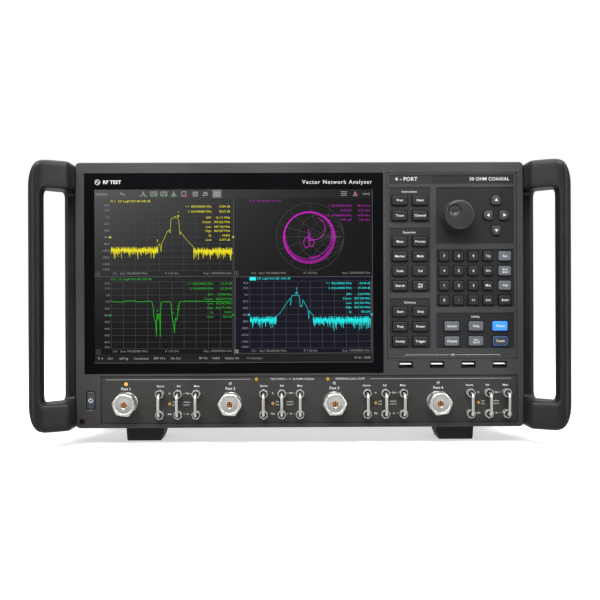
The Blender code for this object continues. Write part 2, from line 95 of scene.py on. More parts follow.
def noise(tree, coord, scale, detail=2.0, stretch=None):
    """A noise texture in object space, stretched along an axis if asked."""
    if stretch:
        mapping = tree.nodes.new("ShaderNodeMapping")
        mapping.inputs["Scale"].default_value = stretch
        tree.links.new(coord, mapping.inputs["Vector"])
        coord = mapping.outputs["Vector"]
    tex = tree.nodes.new("ShaderNodeTexNoise")
    tex.inputs["Scale"].default_value = scale
    tex.inputs["Detail"].default_value = detail
    tree.links.new(coord, tex.inputs["Vector"])
    return tex.outputs["Fac"]


def ranged(tree, value, low, high, start=0.3, end=0.7):
    node = tree.nodes.new("ShaderNodeMapRange")
    for key, number in (("From Min", start), ("From Max", end), ("To Min", low), ("To Max", high)):
        node.inputs[key].default_value = number
    tree.links.new(value, node.inputs["Value"])
    return node.outputs["Result"]


def blended(tree, fac, first, second):
    node = tree.nodes.new("ShaderNodeMix")
    node.data_type = "RGBA"
    tree.links.new(fac, node.inputs["Factor"])
    for socket, colour in (("A", first), ("B", second)):
        slot = [s for s in node.inputs if s.name == socket and s.type == "RGBA"][0]
        if isinstance(colour, tuple):
            slot.default_value = (*colour, 1)
        else:
            tree.links.new(colour, slot)
    return [s for s in node.outputs if s.type == "RGBA"][0]


def surface(name, rgb, rough, metal=0.0, spec=0.5, grain=0.4, grain_mm=0.5, depth_mm=0.04, vary=0.14,
            patch_mm=60, stretch=None):
    """A finish with fine grain, slow colour drift and uneven gloss."""
    mat, tree, bsdf = node_material(name, rgb, rough, metal, spec)
    coord = tree.nodes.new("ShaderNodeTexCoord").outputs["Object"]
    slow = noise(tree, coord, 1000 / patch_mm, 4.0)
    fine = noise(tree, coord, 1000 / grain_mm, 2.0, stretch)
    mixed = blended(tree, ranged(tree, slow, 0, 1), scaled(rgb, 1 - vary), scaled(rgb, 1 + vary))
    speck = blended(tree, ranged(tree, fine, 0, 0.35), mixed, scaled(rgb, 0.7))
    tree.links.new(speck, bsdf.inputs["Base Color"])
    tree.links.new(ranged(tree, slow, rough * 0.9, min(1, rough * 1.12)), bsdf.inputs["Roughness"])
    bump = tree.nodes.new("ShaderNodeBump")
    bump.inputs["Strength"].default_value = grain
    bump.inputs["Distance"].default_value = depth_mm * MM
    tree.links.new(fine, bump.inputs["Height"])
    tree.links.new(bump.outputs["Normal"], bsdf.inputs["Normal"])
    return mat


def lit(name, rgb, strength, rough=0.25):
    """Print or a lamp that glows: faintly uneven, as screen print and diffusers are. On print the glow is
    painted light, as print is no lamp.
    """
    mat, tree, bsdf = node_material(name, scaled(rgb, 0.15), rough, 0, 0.3)
    coord = tree.nodes.new("ShaderNodeTexCoord").outputs["Object"]
    cloud = noise(tree, coord, 1500, 3.0)
    for socket, low, high in (("Emission Color", 0.93, 1.05), ("Base Color", 0.13, 0.17)):
        mixed = blended(tree, ranged(tree, cloud, 0, 1), scaled(rgb, low), scaled(rgb, high))
        tree.links.new(mixed, bsdf.inputs[socket])
    tree.links.new(ranged(tree, cloud, rough * 0.9, rough * 1.15), bsdf.inputs["Roughness"])
    bsdf.inputs["Emission Strength"].default_value = strength
    return mat


def panel_material(name, plate, recess, deeper_than_mm):
    """One moulding whose recessed fields are darker than its raised face; painted shade makes them darker
    toward the bottom and darkest at the right.
    """
    mat = surface(name, plate, 0.52, grain_mm=0.35, depth_mm=0.03, vary=0.06)
    tree = mat.node_tree
    bsdf = tree.nodes["Principled BSDF"]
    where = position(tree)
    level = (FRONT_Y + deeper_than_mm) * MM
    deep = ranged(tree, where["Y"], 0, 1, level - 0.00005, level + 0.00005)
    # Painted shade: the recessed fields darken toward the bottom, to 0.78 of their colour low down.
    fade = ranged(tree, where["Z"], 0, 1, 0.09, 0.25)
    near = blended(tree, fade, scaled(recess, 0.78), recess)
    # Painted shade: right of x = 124.8 mm the recessed fields fall to 0.55 of their colour.
    across = ranged(tree, where["X"], 0, 1, 0.1247, 0.1249)
    painted_shade_field = blended(tree, across, near, scaled(recess, 0.55))
    raised = bsdf.inputs["Base Color"].links[0].from_socket
    tree.links.new(blended(tree, deep, raised, painted_shade_field), bsdf.inputs["Base Color"])
    return mat


def screen_material(name, top_left, bottom_right):
    """A lit panel whose dark glow fades from the top left corner to the bottom right."""
    mat, tree, bsdf = node_material(name, (0.004, 0.004, 0.0045), 0.14, 0, 0.25)
    where = position(tree)
    across = ranged(tree, where["X"], 1.0, 0.08, -0.193, 0.068)
    up = ranged(tree, where["Z"], 0, 1.0, 0.085, 0.239)
    both = tree.nodes.new("ShaderNodeMath")
    both.operation = "MULTIPLY"
    tree.links.new(across, both.inputs[0])
    tree.links.new(up, both.inputs[1])
    steep = tree.nodes.new("ShaderNodeMath")
    steep.operation = "POWER"
    steep.inputs[1].default_value = 1.8
    steep.use_clamp = True
    tree.links.new(both.outputs[0], steep.inputs[0])
    tree.links.new(blended(tree, steep.outputs[0], bottom_right, top_left), bsdf.inputs["Emission Color"])
    bsdf.inputs["Emission Strength"].default_value = 1.0
    return mat


PAINT = surface("frame_powder_coat", (0.052, 0.050, 0.048), 0.46, grain_mm=0.6, depth_mm=0.05)
COVER = surface("cover_powder_coat", (0.052, 0.051, 0.050), 0.55, grain=0.6, grain_mm=0.9, depth_mm=0.1)
HANDLE = surface("handle_satin_paint", (0.0135, 0.0128, 0.0122), 0.36, spec=0.42, grain=0.25, grain_mm=0.7,
                 vary=0.1)
PANEL = panel_material("control_panel_plastic", (0.041, 0.043, 0.044), (0.0165, 0.0175, 0.0195), 0.6)
PORTS = surface("port_panel_plastic", (0.036, 0.034, 0.032), 0.5, grain_mm=0.4, depth_mm=0.03, vary=0.08)
RUBBER = {"grain": 0.3, "grain_mm": 0.25, "depth_mm": 0.02}
RUBBER_KEY = surface("key_rubber_dark", (0.014, 0.015, 0.017), 0.5, **RUBBER)
ARROW_KEY = surface("key_rubber_charcoal", (0.052, 0.057, 0.063), 0.45, **RUBBER)
GREY_KEY = surface("key_rubber_grey", (0.135, 0.145, 0.165), 0.5, **RUBBER)
BLUE_KEY_PAINTED_GLOW = surface("key_rubber_blue", (0.045, 0.25, 0.88), 0.45, **RUBBER)
# Painted glow: the blue rubber key glows though it is no lamp.
glow(BLUE_KEY_PAINTED_GLOW, (0.045, 0.26, 0.88), 0.6)
TOUCH_KEY = surface("key_rubber_slate", (0.045, 0.052, 0.066), 0.5, **RUBBER)
RIM = surface("button_surround_plastic", (0.10, 0.10, 0.103), 0.2, grain=0.2, grain_mm=0.3)
KNOB = surface("knob_soft_paint", (0.041, 0.041, 0.042), 0.27, grain=0.25, grain_mm=0.3, depth_mm=0.02)
BLACK = surface("black_moulded_plastic", (0.012, 0.012, 0.013), 0.5, grain=0.4, grain_mm=0.4)
FILTER = surface("filter_foam", (0.010, 0.010, 0.011), 0.8, grain=0.8, grain_mm=1.5, depth_mm=0.3)
FOOT = surface("foot_rubber", (0.022, 0.022, 0.023), 0.55, grain=0.6, grain_mm=0.8, depth_mm=0.1)
STEEL = surface("turned_steel", (0.91, 0.895, 0.87), 0.27, 0.80, grain=0.35, grain_mm=0.4, depth_mm=0.01,
                vary=0.05, patch_mm=9)
POLISHED = surface("polished_jack_steel", (0.95, 0.93, 0.90), 0.30, 0.78, grain=0.3, grain_mm=0.5,
                   depth_mm=0.01, vary=0.05, patch_mm=6)
JACK_METAL = surface("jack_dark_metal", (0.07, 0.055, 0.048), 0.35, 0.9)
SHELL = surface("socket_shell_metal", (0.022, 0.021, 0.020), 0.4, 0.9, grain=0.3, grain_mm=0.8)
BRUSHED = surface("brushed_steel_sheet", (0.60, 0.59, 0.57), 0.34, 1.0, grain=0.5, grain_mm=0.9, depth_mm=0.01,
                  vary=0.06, stretch=(0.05, 1, 1))
TUBE = surface("tube_steel", (0.88, 0.86, 0.83), 0.34, 0.92, grain=0.2, grain_mm=0.3, depth_mm=0.005, vary=0.04)
ZINC = surface("zinc_plated_sheet", (0.42, 0.43, 0.44), 0.42, 0.9, grain=0.4, grain_mm=3, depth_mm=0.02,
               patch_mm=20)
BOARD = surface("board_solder_mask", (0.010, 0.085, 0.035), 0.42, grain_mm=2.0, depth_mm=0.05, patch_mm=8)
GOLD = surface("gold_contact", (0.90, 0.42, 0.17), 0.34, 0.8, grain=0.2, grain_mm=0.2, depth_mm=0.005, vary=0.1)
PALE = surface("pale_plastic", (0.70, 0.70, 0.68), 0.45, grain=0.2, grain_mm=0.3, vary=0.05)
# Painted light: the socket tongue glows though it is no lamp, so it stays pale in the shade inside the socket.
TONGUE_PAINTED_GLOW = surface("socket_tongue_plastic", (0.85, 0.85, 0.84), 0.4, grain=0.2, grain_mm=0.3, vary=0.05)
glow(TONGUE_PAINTED_GLOW, (1, 1, 1), 0.4)
GLASS = surface("printed_cover_glass", (0.0042, 0.0046, 0.0056), 0.09, spec=0.3, grain=0.0, vary=0.2,
                patch_mm=90)
# Painted light: these prints glow though they are no lamps, so they stay bright in any light.
WHITE_PRINT_PAINTED_GLOW = lit("white_print_painted_glow", (0.86, 0.87, 0.88), 0.95, 0.5)
SOFT_PRINT_PAINTED_GLOW = lit("grey_print_painted_glow", (0.72, 0.72, 0.71), 0.8, 0.5)
AMBER_PRINT_PAINTED_GLOW = lit("amber_print_painted_glow", (0.95, 0.55, 0.05), 0.8, 0.5)
INK = surface("black_ink", (0.015, 0.015, 0.016), 0.5, grain=0.2, grain_mm=0.3)
AMBER_LAMP = lit("amber_lamp", (1.0, 0.50, 0.08), 1.2)
POWER_GLOW = lit("power_symbol_glow", (0.70, 0.80, 1.0), 1.3)
BLUE_GLOW = lit("blue_ring_glow", (0.06, 0.25, 0.80), 0.75)
DIM_LAMP = surface("unlit_lamp", (0.30, 0.30, 0.30), 0.25, grain=0.2, grain_mm=0.3)

FINISHES = {
    PAINT: ("front_frame",), COVER: ("wrap_cover", "rear_panel"), PANEL: ("control_panel",),
    PORTS: ("port_panel",), ZINC: ("chassis_tray", "power_supply", "rf_deck"),
    BOARD: ("key_board", "main_board"), STEEL: ("encoder_shaft",), SHELL: ("usb_board",),
    BRUSHED: ("rear_io_board",), BLACK: ("ac_inlet", "fan_frame", "fan_rotor"),
}


# ---------------------------------------------------------------- mesh helpers

def new_object(name, data):
    thing = bpy.data.objects.new(name, data)
    bpy.context.scene.collection.objects.link(thing)
    return thing


def mesh_data(name, mesh):
    data = bpy.data.meshes.new(name)
    mesh.to_mesh(data)
    mesh.free()
    return data


def evaluated_mesh(thing):
    bpy.context.view_layer.update()
    return bpy.data.meshes.new_from_object(thing.evaluated_get(bpy.context.evaluated_depsgraph_get()))


def finish_piece(name, mesh, mat, body, smooth=35.0):
    """Turns a bmesh into an object with its finish and body."""
    bmesh.ops.recalc_face_normals(mesh, faces=mesh.faces)
    data = mesh_data(name, mesh)
    data.materials.append(mat)
    if smooth:
        data.shade_smooth()
        data.set_sharp_from_angle(angle=math.radians(smooth))
    piece = new_object(name, data)
    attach(piece, body)
    return piece


def add_rings(mesh, rings, closed=False):
    """Skins rings of equal length: capped, or closed by joining the last ring to the first."""
    loops = [[mesh.verts.new(p) for p in ring] for ring in rings]
    pairs = list(zip(loops, loops[1:]))
    if closed:
        pairs.append((loops[-1], loops[0]))
    for near, far in pairs:
        for i, corner in enumerate(near):
            j = (i + 1) % len(near)
            mesh.faces.new((corner, near[j], far[j], far[i]))
    if not closed:
        mesh.faces.new(loops[0])
        mesh.faces.new(loops[-1])


def loft(name, rings, mat, body, smooth=35.0, closed=False):
    mesh = bmesh.new()
    add_rings(mesh, rings, closed=closed)
    return finish_piece(name, mesh, mat, body, smooth)


def round_rect(x, z, w, h, r):
    """The outline of a rectangle with rounded corners, about (x, z)."""
    steps = 5
    points = []
    for turn, (sx, sz) in enumerate(((1, 1), (-1, 1), (-1, -1), (1, -1))):
        for k in range(steps + 1):
            a = math.pi / 2 * (turn + k / steps)
            points.append((x + sx * (w / 2 - r) + r * math.cos(a), z + sz * (h / 2 - r) + r * math.sin(a)))
    return points


def ring(outline, d):
    return [at(x, d, z) for x, z in outline]


def turned_rings(x, z, profile, sides=48, flat=None, twist=0.0, flute=None):
    """Rings about an axis along the depth, from (radius, depth) points.

    `flat` limits them to a hexagon of that half width, and `flute(angle, depth)` cuts into them.
    """
    rings = []
    for radius, d in profile:
        points = []
        for k in range(sides):
            a = 2 * math.pi * k / sides
            r = radius
            if flat:
                r = min(r, flat / math.cos((a % (math.pi / 3)) - math.pi / 6))
            if flute:
                r -= flute(a, d)
            points.append(at(x + r * math.cos(a + twist), d, z + r * math.sin(a + twist)))
        rings.append(points)
    return rings


def turned(name, x, z, profile, mat, body=CASE, smooth=35.0, **options):
    return loft(name, turned_rings(x, z, profile, **options), mat, body, smooth)


def turned_set(prefix, x, z, parts):
    """Turned pieces on one axis: each is (suffix, profile, finish, options)."""
    for suffix, profile, mat, options in parts:
        turned(f"{prefix}_{suffix}", x, z, profile, mat, **options)


def diamond(x, z, half_w, half_h):
    return [(x - half_w, z), (x, z + half_h), (x + half_w, z), (x, z - half_h), (x - half_w, z)]


def add_box(mesh, x0, x1, d0, d1, z0, z1):
    add_rings(mesh, [[at(x0, d, z0), at(x1, d, z0), at(x1, d, z1), at(x0, d, z1)] for d in (d0, d1)])


def boxes(name, spans, mat, bevel=0.0):
    mesh = bmesh.new()
    for span in spans:
        add_box(mesh, *span)
    if bevel:
        bmesh.ops.bevel(mesh, geom=mesh.edges[:], offset=bevel * MM, segments=2, affect="EDGES", profile=0.5)
    return finish_piece(name, mesh, mat, CASE, 40.0 if bevel else None)


def ribbon(mesh, points, width, d):
    """A flat line of constant width through (x, z) points, at one depth."""
    for (ax, az), (bx, bz) in zip(points, points[1:]):
        run = math.hypot(bx - ax, bz - az)
        if run < 1e-6:
            continue
        ux, uz = (bx - ax) / run * width / 2, (bz - az) / run * width / 2
        corners = ((ax - ux - uz, az - uz + ux), (ax - ux + uz, az - uz - ux),
                   (bx + ux + uz, bz + uz - ux), (bx + ux - uz, bz + uz + ux))
        mesh.faces.new([mesh.verts.new(at(x, d, z)) for x, z in corners])


def lines(name, paths, width, d, mat, body=CASE):
    mesh = bmesh.new()
    for path in paths:
        ribbon(mesh, path, width, d)
    return finish_piece(name, mesh, mat, body, None)


def lettering(name, items, d, mat, body=CASE, thick=0.02, fineness=3, bold=0.02, spacing=1.0, face=1):
    """Words as one thin mesh. Each item is (words, x, z, size), with an alignment after it if not centred.

    face -1 reads from behind.
    """
    mesh = bmesh.new()
    for words, x, z, size, *align in items:
        curve = bpy.data.curves.new(name, "FONT")
        curve.body = words
        curve.size = size
        curve.align_x = align[0] if align else "CENTER"
        curve.align_y = "CENTER"
        curve.extrude = thick
        curve.offset = size * bold
        curve.space_character = spacing
        curve.resolution_u = fineness
        holder = new_object(name, curve)
        shape = evaluated_mesh(holder)
        shape.transform(Matrix(((MM * face, 0, 0, x * MM), (0, 0, -MM * face, (FRONT_Y + d) * MM),
                                (0, MM, 0, z * MM), (0, 0, 0, 1))))
        mesh.from_mesh(shape)
        bpy.data.objects.remove(holder)
        bpy.data.curves.remove(curve)
        bpy.data.meshes.remove(shape)
    bmesh.ops.remove_doubles(mesh, verts=mesh.verts, dist=1e-7)
    return finish_piece(name, mesh, mat, body, None)


def wear(node, mat, bevel=0.0):
    """Gives a CAD node its finish and, where asked, rounded edges."""
    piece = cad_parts[node]
    piece.data.materials.clear()
    piece.data.materials.append(mat)
    if bevel:
        weld = piece.modifiers.new("weld", "WELD")
        weld.merge_threshold = 0.00001
        soft = piece.modifiers.new("edges", "BEVEL")
        soft.width = bevel * MM
        soft.segments = 2
        soft.limit_method = "ANGLE"
        soft.angle_limit = math.radians(40)
        soft.use_clamp_overlap = True
        soft.harden_normals = False
    return piece


# ---------------------------------------------------------------- enclosure

def cast_handle(node):
    """Rounds the handle's edges as a casting's are, inside its own outline."""
    piece = wear(node, HANDLE)
    remesh = piece.modifiers.new("cast", "REMESH")
    remesh.mode = "VOXEL"
    remesh.voxel_size = 0.0013
    remesh.use_smooth_shade = True
    soft = piece.modifiers.new("soft", "SMOOTH")
    soft.factor = 0.5
    soft.iterations = 30
    fill = piece.modifiers.new("fill", "DISPLACE")
    fill.strength = 0.0006
    fill.mid_level = 0.0


def cap_screw(name, x, d, z, direction, r=3.0):
    """A low socket-head screw on a face that looks to the rear, or along X with direction 1 or -1."""
    mesh = bmesh.new()
    profile = [(r, 0), (r, 0.7), (r * 0.72, 1.3), (r * 0.42, 1.3), (r * 0.42, 0.4)]
    rings = []
    for radius, out in profile:
        sides = []
        for k in range(24):
            a = 2 * math.pi * k / 24
            q = radius
            if radius <= r * 0.5:
                q = radius * math.cos(math.pi / 6) / math.cos(a % (math.pi / 3) - math.pi / 6)
            u, v = q * math.cos(a), q * math.sin(a)
            if direction == "rear":
                sides.append(at(x + u, d + out, z + v))
            else:
                sides.append(at(x + out * direction, d + u, z + v))
        rings.append(sides)
    add_rings(mesh, rings)
    finish_piece(name, mesh, ZINC, CASE, 30.0)


def dress_enclosure():
    for mat, nodes in FINISHES.items():
        for node in nodes:
            wear(node, mat)
    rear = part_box("rear_panel")[1].y / MM - FRONT_Y
    for side, word in ((-1, "left"), (1, "right")):
        cast_handle(f"handle_{word}")
        wear(f"front_foot_{word}", FOOT, 0.6)
        wear(f"rear_foot_{word}", FOOT, 1.2)
        wear(f"tilt_leg_{word}", BLACK, 0.5)
        for n, z in enumerate((60, 139, 218)):
            cap_screw(f"handle_screw_{word}_{n}", side * 222.9, 44, z, side)
        for n, (d, z) in enumerate((d, z) for z in (250, 30) for d in (60, 225, 395)):
            cap_screw(f"cover_screw_{word}_{n}", side * 208.9, d, z, side, r=2.6)
    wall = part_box("wrap_cover")[1].x / MM
    for side, word in ((-1, "left"), (1, "right")):
        boxes(f"side_filter_{word}", [(side * (wall - 2.5), side * (wall - 1.8), 80, 326, 84, 206)], FILTER)
    for n, (x, z) in enumerate(((-197, 254), (0, 254), (197, 254), (-197, 60), (0, 25), (197, 110))):
        cap_screw(f"rear_screw_{n}", x, rear, z, "rear", r=2.6)
    fan_x, fan_z = centre("fan_frame")
    for n, (x, z) in enumerate((x, z) for z in (52.5, -52.5) for x in (-52.5, 52.5)):
        cap_screw(f"fan_screw_{n}", fan_x + x, rear, fan_z + z, "rear")


# ---------------------------------------------------------------- display

SCREEN_LEFT, SCREEN_TOP = -192.7, 238.8
DOTS_WIDE, DOTS_HIGH = 1280, 800
DOT = 261.12 / DOTS_WIDE
# The display's layers, as depths behind the front face.
BAR_D, GRID_D, TRACE_D, WORDS_D = 0.52, 0.50, 0.47, 0.46
GLASS_PRINT_D = 0.07


def dot(u, v):
    """(x, z) of a point on the display, counted in its 1280 by 800 dots from the top left."""
    return SCREEN_LEFT + u * DOT, SCREEN_TOP - v * DOT


def dots(*points):
    return [dot(u, v) for u, v in points]


def box_path(u0, v0, u1, v1):
    return dots((u0, v0), (u1, v0), (u1, v1), (u0, v1), (u0, v0))


def patch(name, spans, d, mat):
    """Flat rectangles on the display."""
    mesh = bmesh.new()
    for u0, v0, u1, v1 in spans:
        corners = dots((u0, v0), (u0, v1), (u1, v1), (u1, v0))
        mesh.faces.new([mesh.verts.new(at(x, d, z)) for x, z in corners])
    return finish_piece(name, mesh, mat, CASE, None)


def words(entries, size):
    """Display text at one height in dots: (words, u, v), with an alignment after it if not centred."""
    made = []
    for text, u, v, *align in entries:
        x, z = dot(u, v)
        made.append((text, x, z, size * DOT * 1.25, *align))
    return made


def circle_path(u, v, r, start=0.0, end=360.0, steps=72):
    return [dot(u + r * math.cos(a), v - r * math.sin(a))
            for a in (math.radians(start + (end - start) * k / steps) for k in range(steps + 1))]


def noise_band(rng, u0, u1, top, spread):
    """A noisy trace: a ragged band with spikes that hang below it."""
    points = []
    u = u0
    while u < u1:
        hang = min(rng.expovariate(1 / spread), spread * 2.2) if rng.random() < 0.5 else 0
        points += [(u, top + rng.uniform(0, spread * 1.3)),
                   (u + 0.9, top + spread * rng.uniform(1.4, 2.8) + hang)]
        u += rng.uniform(1.4, 2.2)
    return points


GRIDS = {"yellow": (75.7, 63.8, 633.0, 374.0), "green": (75.7, 423.3, 633.0, 732.0),
         "cyan": (712.6, 423.3, 1269.6, 732.0)}
YELLOW_SKIRT = ((289, 262), (300, 249), (306, 286), (309, 246), (321, 224), (334, 194), (343, 185), (347, 199),
                (349, 167), (352, 134), (358, 131), (378, 130), (386, 136), (389, 158), (392, 207), (396, 194),
                (404, 207), (426, 235), (449, 259), (459, 272))
GREEN_TRACE = ((73, 511), (91, 516), (131, 516), (144, 512), (179, 511), (197, 516), (232, 515), (250, 512),
               (264, 519), (270, 547), (271, 582), (276, 602), (280, 604), (283, 675), (284, 600), (288, 576),
               (291, 600), (295, 574), (298, 578), (301, 675), (302, 556), (305, 521), (310, 516), (345, 516),
               (351, 523), (354, 578), (360, 609), (364, 631), (366, 659), (368, 618), (371, 591), (374, 602),
               (379, 591), (382, 556), (388, 523), (390, 516), (426, 514), (632, 516))
CYAN_SKIRT = ((834, 585), (847, 576), (865, 552), (882, 525), (896, 505), (899, 503), (901, 535), (904, 503),
              (907, 489), (940, 489), (942, 499), (945, 541), (950, 536), (953, 541), (957, 510), (966, 525),
              (980, 552), (984, 598), (987, 560), (997, 574), (1006, 582))


def screen_grid():
    paths = []
    for u0, v0, u1, v1 in GRIDS.values():
        for k in range(11):
            u, v = u0 + (u1 - u0) * k / 10, v0 + (v1 - v0) * k / 10
            paths += [dots((u, v0), (u, v1)), dots((u0, v), (u1, v))]
    return paths


def smith_chart():
    """Resistance circles and reactance arcs inside the outer circle."""
    u, v, r = 991.5, 219.0, 155.8
    paths = [circle_path(u + r * q / (1 + q), v, r / (1 + q)) for q in (0, 0.5, 1, 2, 5)]
    paths.append(dots((u - r, v), (u + r, v)))
    for x in (0.2, 0.5, 1, 2, 5):
        for sign in (1, -1):
            cu, cv, cr = u + r, v - sign * r / x, r / x
            arc = []
            for k in range(181):
                a = math.radians(2 * k)
                pu, pv = cu + cr * math.cos(a), cv + cr * math.sin(a)
                if math.hypot(pu - u, pv - v) <= r:
                    arc.append((pu, pv))
                elif len(arc) > 1:
                    paths.append(dots(*arc))
                    arc = []
                else:
                    arc = []
            if len(arc) > 1:
                paths.append(dots(*arc))
    return paths


def screen_words(name, entries, mat):
    lettering(name, entries, WORDS_D, mat, thick=0, fineness=2, bold=0.0)


def screen_lines(name, paths, width, d, mat):
    """Lines on the display, of a width in dots."""
    lines(name, paths, width * DOT, d, mat)


def readouts(labels_u, values_u, rows, labels, values):
    """Two columns of right-aligned words, one pair to a row."""
    made = []
    for label, value, v in zip(labels, values, rows):
        made += [(label, labels_u, v, "RIGHT"), (value, values_u, v, "RIGHT")]
    return made


MARKER_WORDS = ("> 1  855.000000 MHz", "2  814.400000 MHz", "BW:", "Center:", "Low:", "High:", "Q:", "Loss:")
TITLES = {
    "yellow": [("Tr 1   S21 LogM 20.0 dB/ 0.00 dB", 73.5, 53.7, "LEFT")] + readouts(
        538, 623, (79, 102, 130, 150, 172, 191, 212, 232), MARKER_WORDS,
        ("-3.204 dB", "-80.27 dB", "16.111 MHz", "855.262 MHz", "847.146 MHz", "863.257 MHz", "44.832",
         "-3.077 dB")),
    "magenta": [("Tr 3   S11 Smith 1 U / 1 U", 713, 53.7, "LEFT")] + readouts(
        1183, 1268, (77, 98, 121, 141), ("1  855.000000 MHz", "15.432 pF", "> 2  814.400000 MHz", "324.1 pH"),
        ("48.17 ohm", "-3.37 ohm", "43.28 ohm", "1.66 ohm")),
    "green": [("Tr 2   S11 LogM 10.0 dB/ -20.0 dB", 73.5, 412, "LEFT")] + readouts(
        545, 630, (434, 456, 484, 504, 525, 545, 566, 586), MARKER_WORDS,
        ("-13.42 dB", "-23.30 dB", "10.708 MHz", "856.813 MHz", "851.443 MHz", "862.171 MHz", "79.991",
         "-18.2 dB")),
    "cyan": [("S21 LogM 20.0 dB/ -60.0 dB", 747, 411, "LEFT")] + readouts(
        1183, 1268, (434, 456, 484, 504, 525, 545, 566), MARKER_WORDS,
        ("-60.48 dB", "-71.769 dB", "1.242 MHz", "857.328 MHz", "856.704 MHz", "857.975 MHz", "704.376")),
}
STATUS_WORDS = ((12, "Tr 4"), (59, "Ch1"), (113, "IntTrig"), (178, "Continuous"), (271, "BW 10 k"),
                (349, "No Cor"), (479, "RF On"), (539, "IntRef"), (597, "Update On"))
TITLE_SIZE, FOOT_SIZE, BAR_SIZE, NOTE_SIZE = 10.8, 11.0, 11.6, 11.5


def build_glass():
    """The cover glass's printed border and the lit panel behind it."""
    x, z = centre("touch_glass")
    low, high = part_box("touch_glass")
    w, h = (high.x - low.x) / MM, (high.z - low.z) / MM
    wide, tall = DOTS_WIDE * DOT, DOTS_HIGH * DOT
    sx, sz = SCREEN_LEFT + wide / 2, SCREEN_TOP - tall / 2
    outer, inner = round_rect(x, z, w, h, 1.5), round_rect(sx, sz, wide + 0.8, tall + 0.8, 0.6)
    slim = round_rect(x, z, w - 0.5, h - 0.5, 1.4)
    border = loft("glass_border", [ring(inner, 0.6), ring(inner, 0.1), ring(slim, 0.1), ring(outer, 0.35),
                                   ring(outer, 2.0), ring(inner, 2.0)], GLASS, CASE, 30, closed=True)
    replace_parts(border, "touch_glass")
    back = screen_material("screen_back_light", (0.092, 0.092, 0.092), (0.0065, 0.0065, 0.0068))
    edge = round_rect(sx, sz, wide, tall, 0.5)
    panel = loft("display_panel", [ring(edge, 0.55), ring(edge, 2.2)], back, CASE, None)
    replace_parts(panel, "lcd_module")


def build_windows():
    """Bars, window frames and grids."""
    bar = screen_material("screen_tool_bar", (0.10, 0.10, 0.10), (0.014, 0.014, 0.014))
    patch("display_bars", [(0, 0, 1280, 40), (0, 757, 1280, 797)], BAR_D, bar)
    patch("display_active_window", [(648, 405, 1272, 753)], BAR_D,
          screen_material("screen_blue_window", (0.020, 0.018, 0.036), (0.0058, 0.0056, 0.0130)))
    patch("display_highlights", [(543, 2, 584, 38), (640, 737, 660, 755)], GRID_D,
          lit("screen_highlight", (0.30, 0.30, 0.30), 0.5))
    patch("display_trace_tab", [(712, 403, 741, 419)], GRID_D, lit("screen_tab_cyan", (0.03, 0.85, 0.83), 0.95))
    screen_lines("display_grid", screen_grid(), 1.6, GRID_D, lit("screen_grid_grey", (0.13, 0.13, 0.135), 0.33))
    screen_lines("display_smith_chart", smith_chart(), 1.5, GRID_D,
                 lit("screen_chart_grey", (0.13, 0.13, 0.13), 0.36))
    frames = [box_path(646, 403, 1274, 755), dots((640, 42), (640, 757)), dots((1279, 0), (1279, 797)),
              dots((0, 797), (1279, 797)), dots((0, 400), (640, 400))]
    frames += [box_path(u - 9, v - 9, u + 9, v + 9) for u, v in ((15, 386), (651, 386), (15, 745))]
    screen_lines("display_frames", frames, 2.4, GRID_D, lit("screen_frame_grey", (0.20, 0.20, 0.21), 0.30))


def build_traces(yellow, green, cyan, magenta):
    rng = random.Random(11)
    first = noise_band(rng, 75.7, 292, 262, 11.5)
    second = noise_band(rng, 455, 633, 266, 13)
    screen_lines("trace_1", [dots(*first, *YELLOW_SKIRT, *second)], 1.3, TRACE_D, yellow)
    screen_lines("trace_2", [dots(*GREEN_TRACE)], 2.6, TRACE_D, green)
    first = noise_band(rng, 714, 836, 584, 12)
    second = noise_band(rng, 1004, 1269, 585, 13.5)
    screen_lines("trace_4", [dots(*first, *CYAN_SKIRT, *second)], 1.3, TRACE_D, cyan)
    loops = [circle_path(u, v, r, steps=96) for u, v, r in (
        (987.6, 222.0, 119.0), (986.2, 221.0, 115.6), (985.0, 219.6, 111.6), (988.4, 223.6, 117.4))]
    loops += [circle_path(982, 216, 105, 178, 300), circle_path(990, 214, 100, 268, 372)]
    loops += [[dot(u + w * math.cos(k * 0.2), 246 + h * math.sin(k * 0.2)) for k in range(33)]
              for u, w, h in ((975, 13, 23), (999, 11, 19))]
    loops += [circle_path(1009, 181, 52, -88, 68), dots((990, 228), (1000, 236), (1011, 233)),
              circle_path(985, 222, 4, steps=16), circle_path(987, 212, 4, steps=16),
              dots((985, 210), (985, 196)), dots((985, 194), (985, 186), (982, 188))]
    screen_lines("trace_3", loops, 2.1, TRACE_D, magenta)


def build_scales(grey):
    """Numbers beside the grids and words under them."""
    scales = []
    for colour, start, step in (("yellow", 40, 20), ("green", 21, 9.4), ("cyan", 40, 20)):
        u0, v0, _, v1 = GRIDS[colour]
        for k in range(11):
            v = v0 + (v1 - v0) * k / 10
            v = min(max(v, v0 + 8), v1 - 7)
            scales.append((f"{start - step * k:.1f}", u0 - 7, v, "RIGHT"))
    feet = []
    for u, v in ((82, 386), (720, 386), (82, 744), (720, 744)):
        feet += [("Ch1   Start 700.000000 MHz", u, v, "LEFT"), ("IF 1.00 kHz", u + 272, v),
                 ("Stop 1.000000000 GHz", u + 548, v, "RIGHT")]
    numbers = [("2", 15, 386), ("3", 651, 386), ("1", 15, 745)]
    screen_words("display_scales", words(scales + numbers, TITLE_SIZE),
                 lit("screen_scale_grey", (0.36, 0.36, 0.36), 0.6))
    note = words([("no messages", 697, 777, "LEFT")], NOTE_SIZE)
    screen_words("display_ranges", words(feet, FOOT_SIZE) + note, grey)


